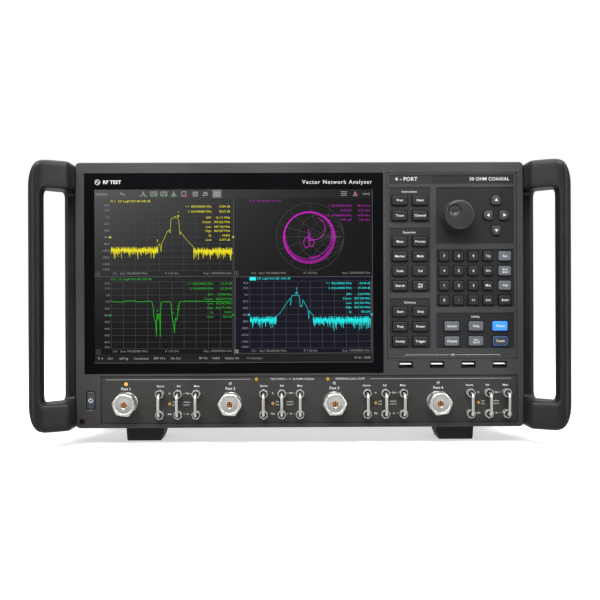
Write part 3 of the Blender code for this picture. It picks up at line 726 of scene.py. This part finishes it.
def build_bars(pale):
    """Words and icons on the tool bar and the status bar."""
    bar_words = [(text, u, 777, "LEFT") for u, text in STATUS_WORDS]
    bar_words += [("01-01  10:00", 1268, 777, "RIGHT"), ("Local", 1266, 21, "RIGHT"),
                  ("Network", 6, 21, "LEFT")]
    screen_words("display_bar_words", words(bar_words, BAR_SIZE), pale)
    icons = [dots((120, 22), (124, 14), (120, 20), (134, 20), (138, 28)),
             dots((209, 30), (219, 28), (225, 10), (230, 28), (240, 30))]
    for u in (273, 319):
        icons += [box_path(u - 14, 11, u + 14, 29), dots((u - 8, 22), (u, 16), (u + 8, 22))]
    icons += [dots((365, 8), (365, 30), (356, 30), (365, 14), (374, 30)), box_path(402, 10, 420, 30),
              box_path(454, 12, 474, 30), dots((458, 17), (470, 17)), dots((460, 25), (468, 25)),
              dots((500, 28), (503, 18), (520, 18), (516, 28), (500, 28)),
              dots((503, 14), (512, 12), (517, 16)), box_path(552, 14, 575, 29),
              circle_path(563.5, 21.5, 4, steps=16)]
    for v in (12, 20, 28):
        icons += [dots((1136, v), (1146, v)), dots((1150, v), (1160, v))]
    icons.append(dots((1193, 30), (1200, 12), (1207, 30), (1193, 30)))
    screen_lines("display_icons", icons, 2.6, WORDS_D, pale)
    for colour, rgb, places in (("green", (0.05, 0.45, 0.12), ((232, 28), (282, 28), (328, 28), (373, 28))),
                                ("red", (0.75, 0.06, 0.05), ((420, 29), (1207, 25)))):
        rounds = [circle_path(u, v, 2.2, steps=12) for u, v in places]
        lamp = lit(f"screen_dot_{colour}", rgb, 0.8)
        screen_lines(f"display_dots_{colour}", rounds, 4.4, WORDS_D - 0.02, lamp)


def build_marks(yellow, green, cyan):
    """Reference pointers beside the grids, and markers on the traces."""
    def arrow(u, v, way):
        return dots((u, v - 3), (u + 5 * way, v), (u, v + 3), (u, v - 3))

    colours = {"yellow": yellow, "green": green, "cyan": cyan}
    for colour, mat in colours.items():
        u0, v0, u1, v1 = GRIDS[colour]
        middle = (v0 + v1) / 2
        pointers = [arrow(u0 - 5, middle, 1), arrow(u1 + 6, middle, -1)]
        screen_lines(f"display_pointers_{colour}", pointers, 3, WORDS_D, mat)
    marks = {
        "yellow": [circle_path(385, 122, 4, steps=12), dots((385, 106), (385, 100)),
                   dots((288, 230), (292, 236), (286, 240)), dots((366, 124), (374, 124))],
        "green": [circle_path(384, 552, 4, steps=12), dots((383, 541), (383, 534)),
                  circle_path(289, 575, 4, steps=12), dots((285, 553), (290, 557), (285, 561)),
                  dots((356, 563), (362, 567), (357, 572))],
        "cyan": [dots((928, 470), (923, 482), (933, 482), (928, 470)), dots((928, 462), (928, 453))],
    }
    for colour, mat in colours.items():
        screen_lines(f"display_marks_{colour}", marks[colour], 1.8, WORDS_D, mat)


def build_glass_print():
    for name, item, bold, spacing in (
            ("glass_words", ("Vector Network Analyzer", 67.8, 245.4, 5.1, "RIGHT"), 0.004, 1.2),
            ("glass_words_left", ("RF TEST", -184.6, 245.6, 4.6, "LEFT"), 0.03, 1.06)):
        lettering(name, [item], GLASS_PRINT_D, WHITE_PRINT_PAINTED_GLOW, bold=bold, spacing=spacing)
    x, z, step = -189.6, 245.7, math.pi / 16
    mark = [[(x + 2.3 * math.cos(k * step), z + 2.3 * math.sin(k * step)) for k in range(33)],
            [(x - 1.6 + 0.2 * k, z + 1.1 * math.sin(k * math.pi / 8)) for k in range(17)]]
    lines("glass_mark", mark, 0.5, GLASS_PRINT_D, WHITE_PRINT_PAINTED_GLOW)


def build_display():
    build_glass()
    build_windows()
    yellow = lit("trace_yellow", (0.84, 0.76, 0.02), 0.88)
    green = lit("trace_green", (0.012, 0.46, 0.015), 0.8)
    cyan = lit("trace_cyan", (0.02, 0.78, 0.78), 0.9)
    magenta = lit("trace_magenta", (0.66, 0.015, 0.60), 0.85)
    violet = lit("words_magenta", (0.50, 0.012, 0.46), 0.75)
    grey = lit("screen_text_grey", (0.34, 0.33, 0.32), 0.55)
    pale = lit("screen_text_pale", (0.50, 0.50, 0.50), 0.62)
    build_traces(yellow, green, cyan, magenta)
    for colour, mat in (("yellow", yellow), ("magenta", violet), ("green", green), ("cyan", cyan)):
        screen_words(f"display_words_{colour}", words(TITLES[colour], TITLE_SIZE), mat)
    build_scales(grey)
    build_bars(pale)
    build_marks(yellow, green, cyan)
    build_glass_print()


# ---------------------------------------------------------------- control panel

PANEL_PRINT_D, PORT_PRINT_D, SOCKET_PRINT_D, KEY_PRINT_D = 0.86, 0.96, 0.26, -1.73


def keycap(name, x, z, w, h, mat, body):
    """A moulded rubber key: rolled edges and a slightly dished top."""
    front, r = -1.7, 1.3
    rings = []
    for inset, d in ((0, 3.5), (0, front + 1.1), (0.1, front + 0.6), (0.32, front + 0.22), (0.7, front + 0.03),
                     (1.1, front), (2.0, front + 0.07)):
        radius = max(r - inset * 0.35, 0.45)
        rings.append(ring(round_rect(x, z, w - 2 * inset, h - 2 * inset, radius), d))
    return loft(name, rings, mat, body, 50)


def arrow_cap(name, x, z, turns, body):
    """An arrow key: square, with the side that points outward drawn in, and turned by quarters."""
    def turned_by(points):
        for _ in range(turns):
            points = [(-b, a) for a, b in points]
        return [(x + a, z + b) for a, b in points]

    def outline(inset):
        s = 4.4 - inset
        return turned_by([
            (-s, -s + 1), (-s + 0.3, -s + 0.3), (-s + 1, -s), (s - 1, -s), (s - 0.3, -s + 0.3), (s, -s + 1),
            (s, 0.9), (s - 0.5, 2.1), (2.7, s - 0.5), (1.9, s), (-1.9, s), (-2.7, s - 0.5), (-s + 0.5, 2.1),
            (-s, 0.9)])

    rings = [ring(outline(i), d) for i, d in ((0, 3.5), (0, -0.6), (0.12, -1.2), (0.4, -1.58), (0.8, -1.7))]
    cap = loft(name, rings, ARROW_KEY, body, 50)
    tip = turned_by([(0, 1.75), (-1.65, -1.05), (1.65, -1.05)])
    loft(f"{name}_mark", [ring(tip, -1.68), ring(tip, -1.75)], WHITE_PRINT_PAINTED_GLOW, body, None)
    return cap


def key_words(body, items):
    lettering(f"{body}_words", items, KEY_PRINT_D, WHITE_PRINT_PAINTED_GLOW, body, bold=0.014, spacing=1.06)


FUNCTION_WORDS = {
    "instrument_keys_row_1": ("Prev", "Next"), "instrument_keys_row_2": ("Trace", "Channel"),
    "response_keys_row_1": ("Meas", "Format"), "response_keys_row_2": ("Marker", "Math"),
    "response_keys_row_3": ("Scale", "Cal"), "response_keys_row_4": ("Search", "Avg\nBW"),
    "stimulus_keys_row_1": ("Start", "Stop"), "stimulus_keys_row_2": ("Freq", "Power"),
    "stimulus_keys_row_3": ("Sweep", "Trigger"),
}
NUMBER_WORDS = (("7", "8", "9", "T/p", "Esc"), ("4", "5", "6", "G/n", "Back\nSpace"),
                ("1", "2", "3", "M/µ", "Tab"), ("0", "·", "+/-", "k/m", "Enter"))
UTILITY_WORDS = {"key_system": "System", "key_help": "Help", "key_preset": "Preset", "key_display": "Display",
                 "key_save": "Save\nRecall", "key_touch": "Touch"}


def key_row(node, xs, texts, look):
    """A row of keys on its shared strip; look(n, text) is a key's width, height, finish and word size."""
    z = centre(node)[1]
    items = []
    for n, (x, text) in enumerate(zip(xs, texts)):
        w, h, mat, size = look(n, text)
        cap = keycap(f"{node}_key_{n + 1}", x, z, w, h, mat, node)
        if n == 0:
            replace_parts(cap, node)
        items.append((text, x, z, size))
    key_words(node, items)


def build_keys():
    def function_look(n, text):
        return 14.2, 9.0, RUBBER_KEY, 2.6 if "\n" in text else 3.1

    for node, pair in FUNCTION_WORDS.items():
        key_row(node, (93.9, 113.0), pair, function_look)
    for row, texts in enumerate(NUMBER_WORDS, 1):
        def look(n, text, row=row):
            wide = n == 4
            size = 2.4 if "\n" in text else (3.0 if wide or len(text) > 1 else 3.5)
            return 11.8 if wide else 9.4, 8.9, GREY_KEY if wide and row < 4 else RUBBER_KEY, size

        key_row(f"number_keys_row_{row}", (135.4, 149.2, 163.0, 176.8, 192.8), texts, look)
    for node, text in UTILITY_WORDS.items():
        x, z = centre(node)
        mat = {"key_preset": BLUE_KEY_PAINTED_GLOW, "key_touch": TOUCH_KEY}.get(node, GREY_KEY)
        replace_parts(keycap(f"{node}_cap", x, z, 13.8, 8.9, mat, node), node)
        key_words(node, [(text, x, z, 2.4 if "\n" in text else 3.0)])
    x, z = centre("key_touch")
    outline = round_rect(x, z, 13.1, 8.2, 1.1)
    lines("key_touch_light", [outline + outline[:1]], 0.5, -1.56, BLUE_GLOW, "key_touch")
    for node, turns in (("key_up", 0), ("key_left", 1), ("key_down", 2), ("key_right", 3)):
        x, z = centre(node)
        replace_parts(arrow_cap(f"{node}_cap", x, z, turns, node), node)


def build_knob():
    x, z = centre("knob")

    def flute(a, d):
        if not -17.6 < d < -4.6:
            return 0.0
        fade = min(1.0, (d + 17.6) / 1.5, (-4.6 - d) / 1.5)
        return 0.42 * fade * max(0.0, math.cos(18 * a)) ** 4

    profile = [(3.2, -13), (3.2, -3.2), (4.8, -3.2), (4.8, -0.4), (14.6, -0.4), (15.3, -0.9), (15.3, -3.2),
               (15.0, -3.7), (14.75, -4.4)]
    profile += [(14.7 - 0.062 * k, -4.8 - k) for k in range(13)]
    profile += [(13.8, -18.0), (13.55, -18.9), (13.1, -19.55), (12.5, -19.9), (11.8, -20.0)]
    knob = turned("knob_cap", x, z, profile, KNOB, "knob", 40, sides=192, flute=flute)
    dimple = bmesh.new()
    bmesh.ops.create_uvsphere(dimple, u_segments=64, v_segments=40, radius=7.6 * MM)
    bmesh.ops.translate(dimple, verts=dimple.verts, vec=at(x - 5.4, -23.4, z + 3.5))
    cutter = new_object("dimple_cutter", mesh_data("dimple_cutter", dimple))
    cut = knob.modifiers.new("dimple", "BOOLEAN")
    cut.operation = "DIFFERENCE"
    cut.solver = "EXACT"
    cut.object = cutter
    carved = evaluated_mesh(knob)
    knob.modifiers.clear()
    knob.data = carved
    carved.shade_smooth()
    carved.set_sharp_from_angle(angle=math.radians(40))
    bpy.data.objects.remove(cutter)
    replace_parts(knob, "knob")


def build_control_panel():
    build_keys()
    build_knob()
    names = [("Instrument", 103.0, 236.3), ("Response", 103.0, 198.0), ("Stimulus", 103.4, 132.0),
             ("Utility", 165.1, 118.4)]
    lettering("group_names", [(*name, 2.9) for name in names], PANEL_PRINT_D, WHITE_PRINT_PAINTED_GLOW, bold=0.004,
              spacing=1.1)
    heading = [("4 - PORT", 89.8, 248.1, 5.0, "LEFT"), ("50 OHM COAXIAL", 197.4, 248.1, 4.3, "RIGHT")]
    lettering("heading_words", heading, PANEL_PRINT_D, WHITE_PRINT_PAINTED_GLOW, bold=0.012, spacing=1.08)
    z = 82.7
    bracket = [[(99.2, z - 1.1), (99.2, z), (139.5, z)], [(147.3, z), (187.7, z), (187.7, z - 1.1)],
               [(128.7, z), (128.7, z - 1.1)], [(158.2, z), (158.2, z - 1.1)], [(140.6, z), (146.4, z)]]
    bracket.append([(143.5 + 1.1 * math.cos(k * 0.524), z + 1.1 * math.sin(k * 0.524)) for k in range(13)])
    lines("socket_bracket", bracket, 0.3, SOCKET_PRINT_D, SOFT_PRINT_PAINTED_GLOW)


# ---------------------------------------------------------------- front sockets

SOCKET_X = (99.2, 128.7, 158.2, 187.7)


def build_front_sockets():
    tongues, contacts = [], []
    mesh = bmesh.new()
    for x in SOCKET_X:
        tongues.append((x - 5.2, x + 5.2, 1.3, 11.9, 73.6, 74.6))
        contacts += [(x + k - 0.5, x + k + 0.5, 2.2, 11.5, 73.35, 73.53) for k in (-3.5, -1.2, 1.2, 3.5)]
        # Painted shade: a black sleeve and back plate line each socket, standing in for the shade inside it.
        wide, slim = round_rect(x, 73.5, 12.3, 5.1, 0.3), round_rect(x, 73.5, 12.0, 4.8, 0.3)
        add_rings(mesh, [ring(wide, 1.3), ring(slim, 1.3), ring(slim, 11.6), ring(wide, 11.6)], closed=True)
        add_rings(mesh, [ring(slim, 11.4), ring(slim, 11.8)])
    boxes("usb_tongues", tongues, TONGUE_PAINTED_GLOW, bevel=0.15)
    finish_piece("usb_painted_shade_liners", mesh, BLACK, CASE, None)
    boxes("usb_contacts", contacts, GOLD)


def build_power_button():
    x, z = centre("power_button")
    body = "power_button"
    outer, inner = round_rect(x, z, 9.5, 18.7, 2.6), round_rect(x, z, 8.8, 18.0, 2.3)
    # Painted shade: a black sleeve lines the gap round the cap, standing in for the shade down in the gap.
    painted_shade_sleeve, bore = round_rect(x, z, 8.75, 17.95, 2.28), round_rect(x, z, 8.45, 17.65, 2.1)
    for name, out, front, into, lip, mat in (("power_surround", outer, -0.25, inner, -0.1, RIM),
                                             ("power_gap_painted_shade", painted_shade_sleeve, -0.02, bore, 0.1, BLACK)):
        rings = [ring(out, 4.9), ring(out, front), ring(into, lip), ring(into, 4.9)]
        loft(name, rings, mat, CASE, 40, closed=True)
    rings = [ring(round_rect(x, z, 7.3 - 2 * i, 16.2 - 2 * i, 1.9 - i * 0.4), d)
             for i, d in ((0, 5.0), (0, 0.1), (0.15, -0.3), (0.5, -0.52), (1.0, -0.55))]
    plastic = surface("power_cap_plastic", (0.060, 0.066, 0.070), 0.42)
    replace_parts(loft("power_cap", rings, plastic, body, 50), body)
    arc = [(x + 1.75 * math.sin(a), z - 0.1 + 1.75 * math.cos(a))
           for a in map(math.radians, range(50, 311, 10))]
    lines("power_symbol", [arc, [(x, z + 0.3), (x, z + 2.4)]], 0.46, -0.6, POWER_GLOW, body)


def build_ground_jack():
    x, z = centre("ground_jack")
    wear("ground_jack", surface("jack_ring_metal", (0.11, 0.10, 0.095), 0.35, 0.9))
    turned("ground_jack_insert", x, z, [(2.0, 6), (2.0, 2.2), (1.2, 1.4), (0.9, 1.4), (0.9, 4)],
           surface("jack_insert", (0.16, 0.07, 0.05), 0.4, 0.5), sides=32)


# ---------------------------------------------------------------- test ports and loops

PORT_X = tuple(centre(f"test_port_{n}")[0] for n in (1, 2, 3, 4))
PORT_Z = centre("test_port_1")[1]
LOOP_Z = centre("loop_links_1")[1]
LOOP_COLUMNS = (30.7, 47.7, 64.7)
LOOP_HALF = 9.7
JACK_NECK = [(3.2, 2), (3.2, 0.4), (3.4, 0.2), (3.1, -0.4), (3.4, -1.0), (3.1, -1.6), (3.4, -2.2), (3.1, -2.8),
             (3.3, -4.3)]
JACK_NUT = [(3.3, -3.9), (3.9, -4.0), (4.5, -4.5), (4.5, -9.3), (3.9, -10.0), (3.5, -10.6), (3.0, -10.6),
            (2.8, -10.3), (2.8, -8.0)]
JACK_SEAL = [(2.85, -8.2), (2.85, -8.9), (1.4, -8.9), (1.4, -8.4)]
JACK_FERRULE = [(1.4, -8.6), (1.8, -8.8), (1.8, -10.2), (1.6, -10.6), (1.4, -10.7)]


def port_label_x(n, x):
    """A port's name and lamp stand a little off its axis, as in the photograph."""
    return x + 0.9 * (n - 2.7)


def build_test_port(n, x):
    z = PORT_Z
    twist = math.radians((-9, -4, 3, 8)[n - 1])
    thread = [(8.2, 2.0), (9.7, 0.7), (9.8, 0.3), (9.8, -2.2), (9.4, -2.6), (8.4, -2.6)]
    for k in range(5):
        thread += [(8.7, -2.9 - k * 0.95), (8.15, -3.35 - k * 0.95)]
    thread += [(8.2, -7.8)]
    turned(f"port_{n}_thread", x, z, thread, STEEL)
    nut = [(8.2, -7.4), (10.1, -7.5), (11.6, -8.5), (11.6, -23.6), (10.6, -24.9), (9.9, -25.7), (9.3, -26.0),
           (8.5, -26.0), (7.9, -24.4), (3.3, -24.0), (2.8, -23.7), (2.8, -19)]
    nut_piece = turned(f"port_{n}_nut", x, z, nut, STEEL, flat=9.78, twist=twist, sides=144, smooth=22)
    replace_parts(nut_piece, f"test_port_{n}")
    mesh = bmesh.new()
    for quarter in range(4):
        start = math.pi / 2 * quarter + 0.27 + twist
        arc = [start + (math.pi / 2 - 0.54) * k / 6 for k in range(7)]
        outline = [(x + 2.3 * math.cos(a), z + 2.3 * math.sin(a)) for a in arc]
        outline += [(x + 0.7 * math.cos(a), z + 0.7 * math.sin(a)) for a in reversed(arc)]
        add_rings(mesh, [ring(outline, -20), ring(outline, -24.6)])
    finish_piece(f"port_{n}_contact", mesh, GOLD, CASE, 30)
    turned(f"port_{n}_bead", x, z, [(2.7, -19.5), (2.7, -23.0), (0.5, -23.0), (0.5, -22.5)], BLACK, sides=32)
    turned_set(f"port_{n}", port_label_x(n, x), 56.2, (
        ("lamp", [(1.7, 1.2), (1.7, 0.7), (1.5, 0.4), (0.9, 0.1), (0.2, 0.02)],
         AMBER_LAMP if n == 1 else DIM_LAMP, {"sides": 24}),
        ("lamp_ring", [(1.75, 1.2), (1.75, 0.75), (2.1, 0.8), (2.15, 1.2)], BLACK, {"sides": 32}),
    ))


def sweep(name, x, path, radius, mat):
    """A round tube along (d, z) points in one upright plane."""
    sides = 16
    rings = []
    for i, (d, z) in enumerate(path):
        before, after = path[max(i - 1, 0)], path[min(i + 1, len(path) - 1)]
        run = math.hypot(after[0] - before[0], after[1] - before[1])
        ud, uz = (after[0] - before[0]) / run, (after[1] - before[1]) / run
        rings.append([at(x + radius * math.sin(a), d - radius * math.cos(a) * uz, z + radius * math.cos(a) * ud)
                      for a in (2 * math.pi * k / sides for k in range(sides))])
    return loft(name, rings, mat, CASE, 60)


def build_loops(n, port_x):
    bend, front = 4.0, -19.0
    half = [(-8.6, LOOP_HALF), (-12.5, LOOP_HALF)]
    half += [(front + bend * (1 - math.sin(a)), LOOP_HALF - bend * (1 - math.cos(a)))
             for a in (math.radians(9 * k) for k in range(11))]
    path = [(d, LOOP_Z + z) for d, z in half] + [(d, LOOP_Z - z) for d, z in reversed(half)]
    for column, dx in enumerate(LOOP_COLUMNS, 1):
        x = port_x + dx
        tube = sweep(f"link_{n}_{column}", x, path, 1.32, TUBE)
        if column == 1:
            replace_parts(tube, f"loop_links_{n}")
        for word, z, extra in (("upper", LOOP_Z + LOOP_HALF, 9), ("lower", LOOP_Z - LOOP_HALF, 0)):
            twist = math.radians((17 * n + 23 * column + extra) % 60 - 30)
            turned_set(f"jack_{n}_{column}_{word}", x, z, (
                ("thread", JACK_NECK, POLISHED, {"sides": 32}),
                ("nut", JACK_NUT, POLISHED, {"flat": 3.75, "twist": twist, "sides": 72, "smooth": 22}),
                ("seal", JACK_SEAL, BLACK, {"sides": 32}),
                ("ferrule", JACK_FERRULE, JACK_METAL, {"sides": 32}),
            ))


def build_port_panel():
    d = PORT_PRINT_D
    names, small, tiny, marks = [], [], [], []
    for n, x in enumerate(PORT_X, 1):
        build_test_port(n, x)
        build_loops(n, x)
        names.append((f"Port {n}", port_label_x(n, x), 51.6, 3.6))
        first, second, third = (x + dx for dx in LOOP_COLUMNS)
        gap, wide = (first + second) / 2, (second + third) / 2
        small += [(text, cx, 54.1, 2.5) for cx, text in ((first, "Source"), (second, "Ref"), (third, "Meas"))]
        small += [(text, cx, z, 2.1) for text, cx, z in (
            ("In", gap, 47.3), ("Out", wide, 47.3), ("Out", gap, 27.9), ("In", wide, 27.9))]
        for z in (47.3, 27.9):
            marks += [[(second + 4.6, z), (wide - 2.6, z)], [(wide + 2.6, z), (third - 4.6, z)]]
        tiny += [(text, cx, z, 1.7) for text, cx, z in (
            ("Link", gap + 4.2, 39.2), ("loop", gap + 4.2, 36.6),
            ("receivers", wide - 0.8, 39.2), (f"to port {n}", wide - 0.8, 36.6))]
        lines(f"port_{n}_mark", [diamond(gap, 37.6, 1.1, 1.2)], 0.55, d, AMBER_PRINT_PAINTED_GLOW)
    lettering("port_names", names, d, WHITE_PRINT_PAINTED_GLOW, bold=0.01)
    lettering("port_small_words", small, d, WHITE_PRINT_PAINTED_GLOW, bold=0.01)
    lettering("port_tiny_words", tiny, d, SOFT_PRINT_PAINTED_GLOW)
    head_z = 60.4
    marks += [[(x0, head_z), (x1, head_z)] for x0, x1 in ((-182.5, -47.5), (65.5, 198.5))]
    lines("port_panel_lines", marks, 0.28, d, SOFT_PRINT_PAINTED_GLOW)
    heads = [("TEST PORTS 1 - 4   50 OHM COAXIAL", -7.6), ("REFERENCE LINK LOOPS", 46.8)]
    lettering("port_panel_words", [(text, x, head_z, 2.5) for text, x in heads], d, SOFT_PRINT_PAINTED_GLOW, bold=0.01)
    for n, x in enumerate((-41.3, 25.8)):
        lines(f"panel_mark_{n}", [diamond(x, head_z, 1.2, 1.3)], 0.7, d, AMBER_PRINT_PAINTED_GLOW)


# ---------------------------------------------------------------- rear

def build_rear():
    io_x, io_z = 95.0, 215.0
    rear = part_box("rear_panel")[1].y / MM - FRONT_Y + 0.3

    def behind(*profile):
        return [(r, rear + d) for r, d in profile]

    names = []
    for n, text in enumerate(("REF IN", "REF OUT", "TRIG IN", "TRIG OUT")):
        x, z = io_x - 60 + 24 * n, io_z + 10
        names.append((text, x, io_z + 19.5, 2.8))
        turned_set(f"coax_{n}", x, z, (
            ("flange", behind((6.6, 1.62), (6.6, 3.4), (6.2, 3.7), (4.9, 3.7)), STEEL,
             {"flat": 6.3, "sides": 72, "smooth": 22}),
            ("bead", behind((3.6, 13.0), (3.6, 13.2), (0.9, 13.2), (0.9, 13.05)), PALE, {"sides": 32}),
            ("pin", behind((0.8, 12.9), (0.8, 13.6), (0.5, 13.9)), GOLD, {"sides": 16}),
        ))
        lugs = [(x0, x1, rear + 8, rear + 9.8, z - 0.9, z + 0.9)
                for x0, x1 in ((x - 5.9, x - 4.6), (x + 4.6, x + 5.9))]
        boxes(f"coax_{n}_lugs", lugs, STEEL, bevel=0.2)
    lan_x = io_x + 45
    contacts = [(lan_x + k - 3.75, lan_x + k - 3.25, rear - 10.6, rear - 1, io_z + 11.6, io_z + 12.0)
                for k in range(8)]
    boxes("lan_contacts", contacts, GOLD)
    boxes("rear_usb_tongues", [(x - 5.2, x + 5.2, rear - 10.9, rear + 0.6, io_z - 11.6, io_z - 9.8)
                               for x in (lan_x, io_x + 25)], PALE, bevel=0.15)
    x, z = centre("ac_inlet")
    pins = [(x + x0, x + x1, 394.2, d, z + z0, z + z1) for x0, x1, d, z0, z1 in (
        (-1.1, 1.1, 405.0, 1.2, 5.2), (-8.2, -6.2, 404, -4.4, -0.4), (6.2, 8.2, 404, -4.4, -0.4))]
    boxes("inlet_pins", pins, BRUSHED, bevel=0.3)
    names += [("LAN", lan_x, io_z + 15.2, 2.8), ("USB", io_x + 35, io_z - 18.5, 2.8)]
    lettering("rear_words", names, rear + 1.64, INK, bold=0.01, spacing=1.05, face=-1)
    for n, side in enumerate((-1, 1)):
        cap_screw(f"io_screw_{n}", io_x + side * 75, rear + 1.6, io_z - 22, "rear", r=2.4)


# ---------------------------------------------------------------- studio

def area_light(name, where, aim, size, watts):
    light = bpy.data.lights.new(name, "AREA")
    light.shape = "RECTANGLE"
    light.size, light.size_y = size
    light.energy = watts
    lamp = new_object(name, light)
    lamp.location = where
    lamp.rotation_euler = (Vector(aim) - Vector(where)).to_track_quat("-Z", "Y").to_euler()
    lamp.visible_camera = False


LIGHTS = {
    "key_light": ((-0.15, -1.15, 1.05), (0, -0.19, 0.17), (0.9, 0.5), 13),
    "top_light": ((0, 0.1, 1.9), (0, 0, 0), (2.2, 2.0), 30),
    "floor_bounce": ((0, -0.53, 0.004), (0, -0.53, 1), (1.2, 0.36), 0.55),
    "left_strip": ((-1.1, -0.96, 0.4), (0.0, -0.2, 0.14), (0.22, 1.2), 2.6),
    "right_strip": ((1.1, -0.96, 0.4), (0.0, -0.2, 0.14), (0.22, 1.2), 3.0),
    "left_sparkle": ((-1.2, -0.9, 1.15), (-0.24, -0.2, 0.22), (0.3, 0.3), 5),
    "right_sparkle": ((1.2, -0.9, 1.15), (0.24, -0.2, 0.22), (0.3, 0.3), 5),
}
LENS_MM, SENSOR_MM = 63.13, 36
EYE = (-0.0120, FRONT_Y * MM - 0.9884, 0.1347)
TURNED_RIGHT, ROLLED = 0.0120, 0.0036


def build_floor():
    """A pale floor that takes shadows and isn't mirrored in the case."""
    mesh = bmesh.new()
    bmesh.ops.create_grid(mesh, x_segments=1, y_segments=1, size=8)
    floor = new_object("floor", mesh_data("floor", mesh))
    pale = node_material("floor_pale", (0.80, 0.80, 0.80), 0.9, 0, 0.1)[0]
    glow(pale, (1, 1, 1), 0.52)
    floor.data.materials.append(pale)
    floor.visible_diffuse = False
    floor.visible_glossy = False


def build_room():
    """White where the camera looks; a bright ceiling and dim walls for reflections."""
    world = bpy.data.worlds.new("studio")
    world.use_nodes = True
    tree = world.node_tree
    background = tree.nodes["Background"]
    seen = tree.nodes.new("ShaderNodeLightPath").outputs["Is Camera Ray"]
    where = position(tree, "Generated")
    height = ranged(tree, where["Z"], 0, 1, 0.05, 0.8)
    behind = ranged(tree, where["Y"], 0, 1, -0.95, 0.3)
    level = blended(tree, behind, (0.025, 0.025, 0.026), (0.30, 0.30, 0.30))
    below = ranged(tree, where["Z"], 1, 0, -0.50, -0.12)
    room = blended(tree, height, blended(tree, below, level, (0.75, 0.75, 0.75)), (0.80, 0.80, 0.81))
    tree.links.new(blended(tree, seen, room, (1.0, 1.0, 1.0)), background.inputs["Color"])
    background.inputs["Strength"].default_value = 1.0
    bpy.context.scene.world = world
    bpy.context.scene.view_settings.view_transform = "Standard"


def build_camera():
    camera = bpy.data.cameras.new("camera")
    camera.lens = LENS_MM
    camera.sensor_width = SENSOR_MM
    camera.clip_start = 0.05
    eye = new_object("camera", camera)
    eye.location = Vector(EYE)
    facing = (Matrix.Rotation(-TURNED_RIGHT, 4, "Z") @ Matrix.Rotation(ROLLED, 4, "Y")
              @ Matrix.Rotation(math.radians(90), 4, "X"))
    eye.rotation_euler = facing.to_euler()
    bpy.context.scene.camera = eye


def build_studio():
    build_floor()
    build_room()
    for name, numbers in LIGHTS.items():
        area_light(name, *numbers)
    build_camera()


dress_enclosure()
build_display()
build_control_panel()
build_front_sockets()
build_power_button()
build_ground_jack()
build_port_panel()
build_rear()
build_studio()

bpy.context.view_layer.update()
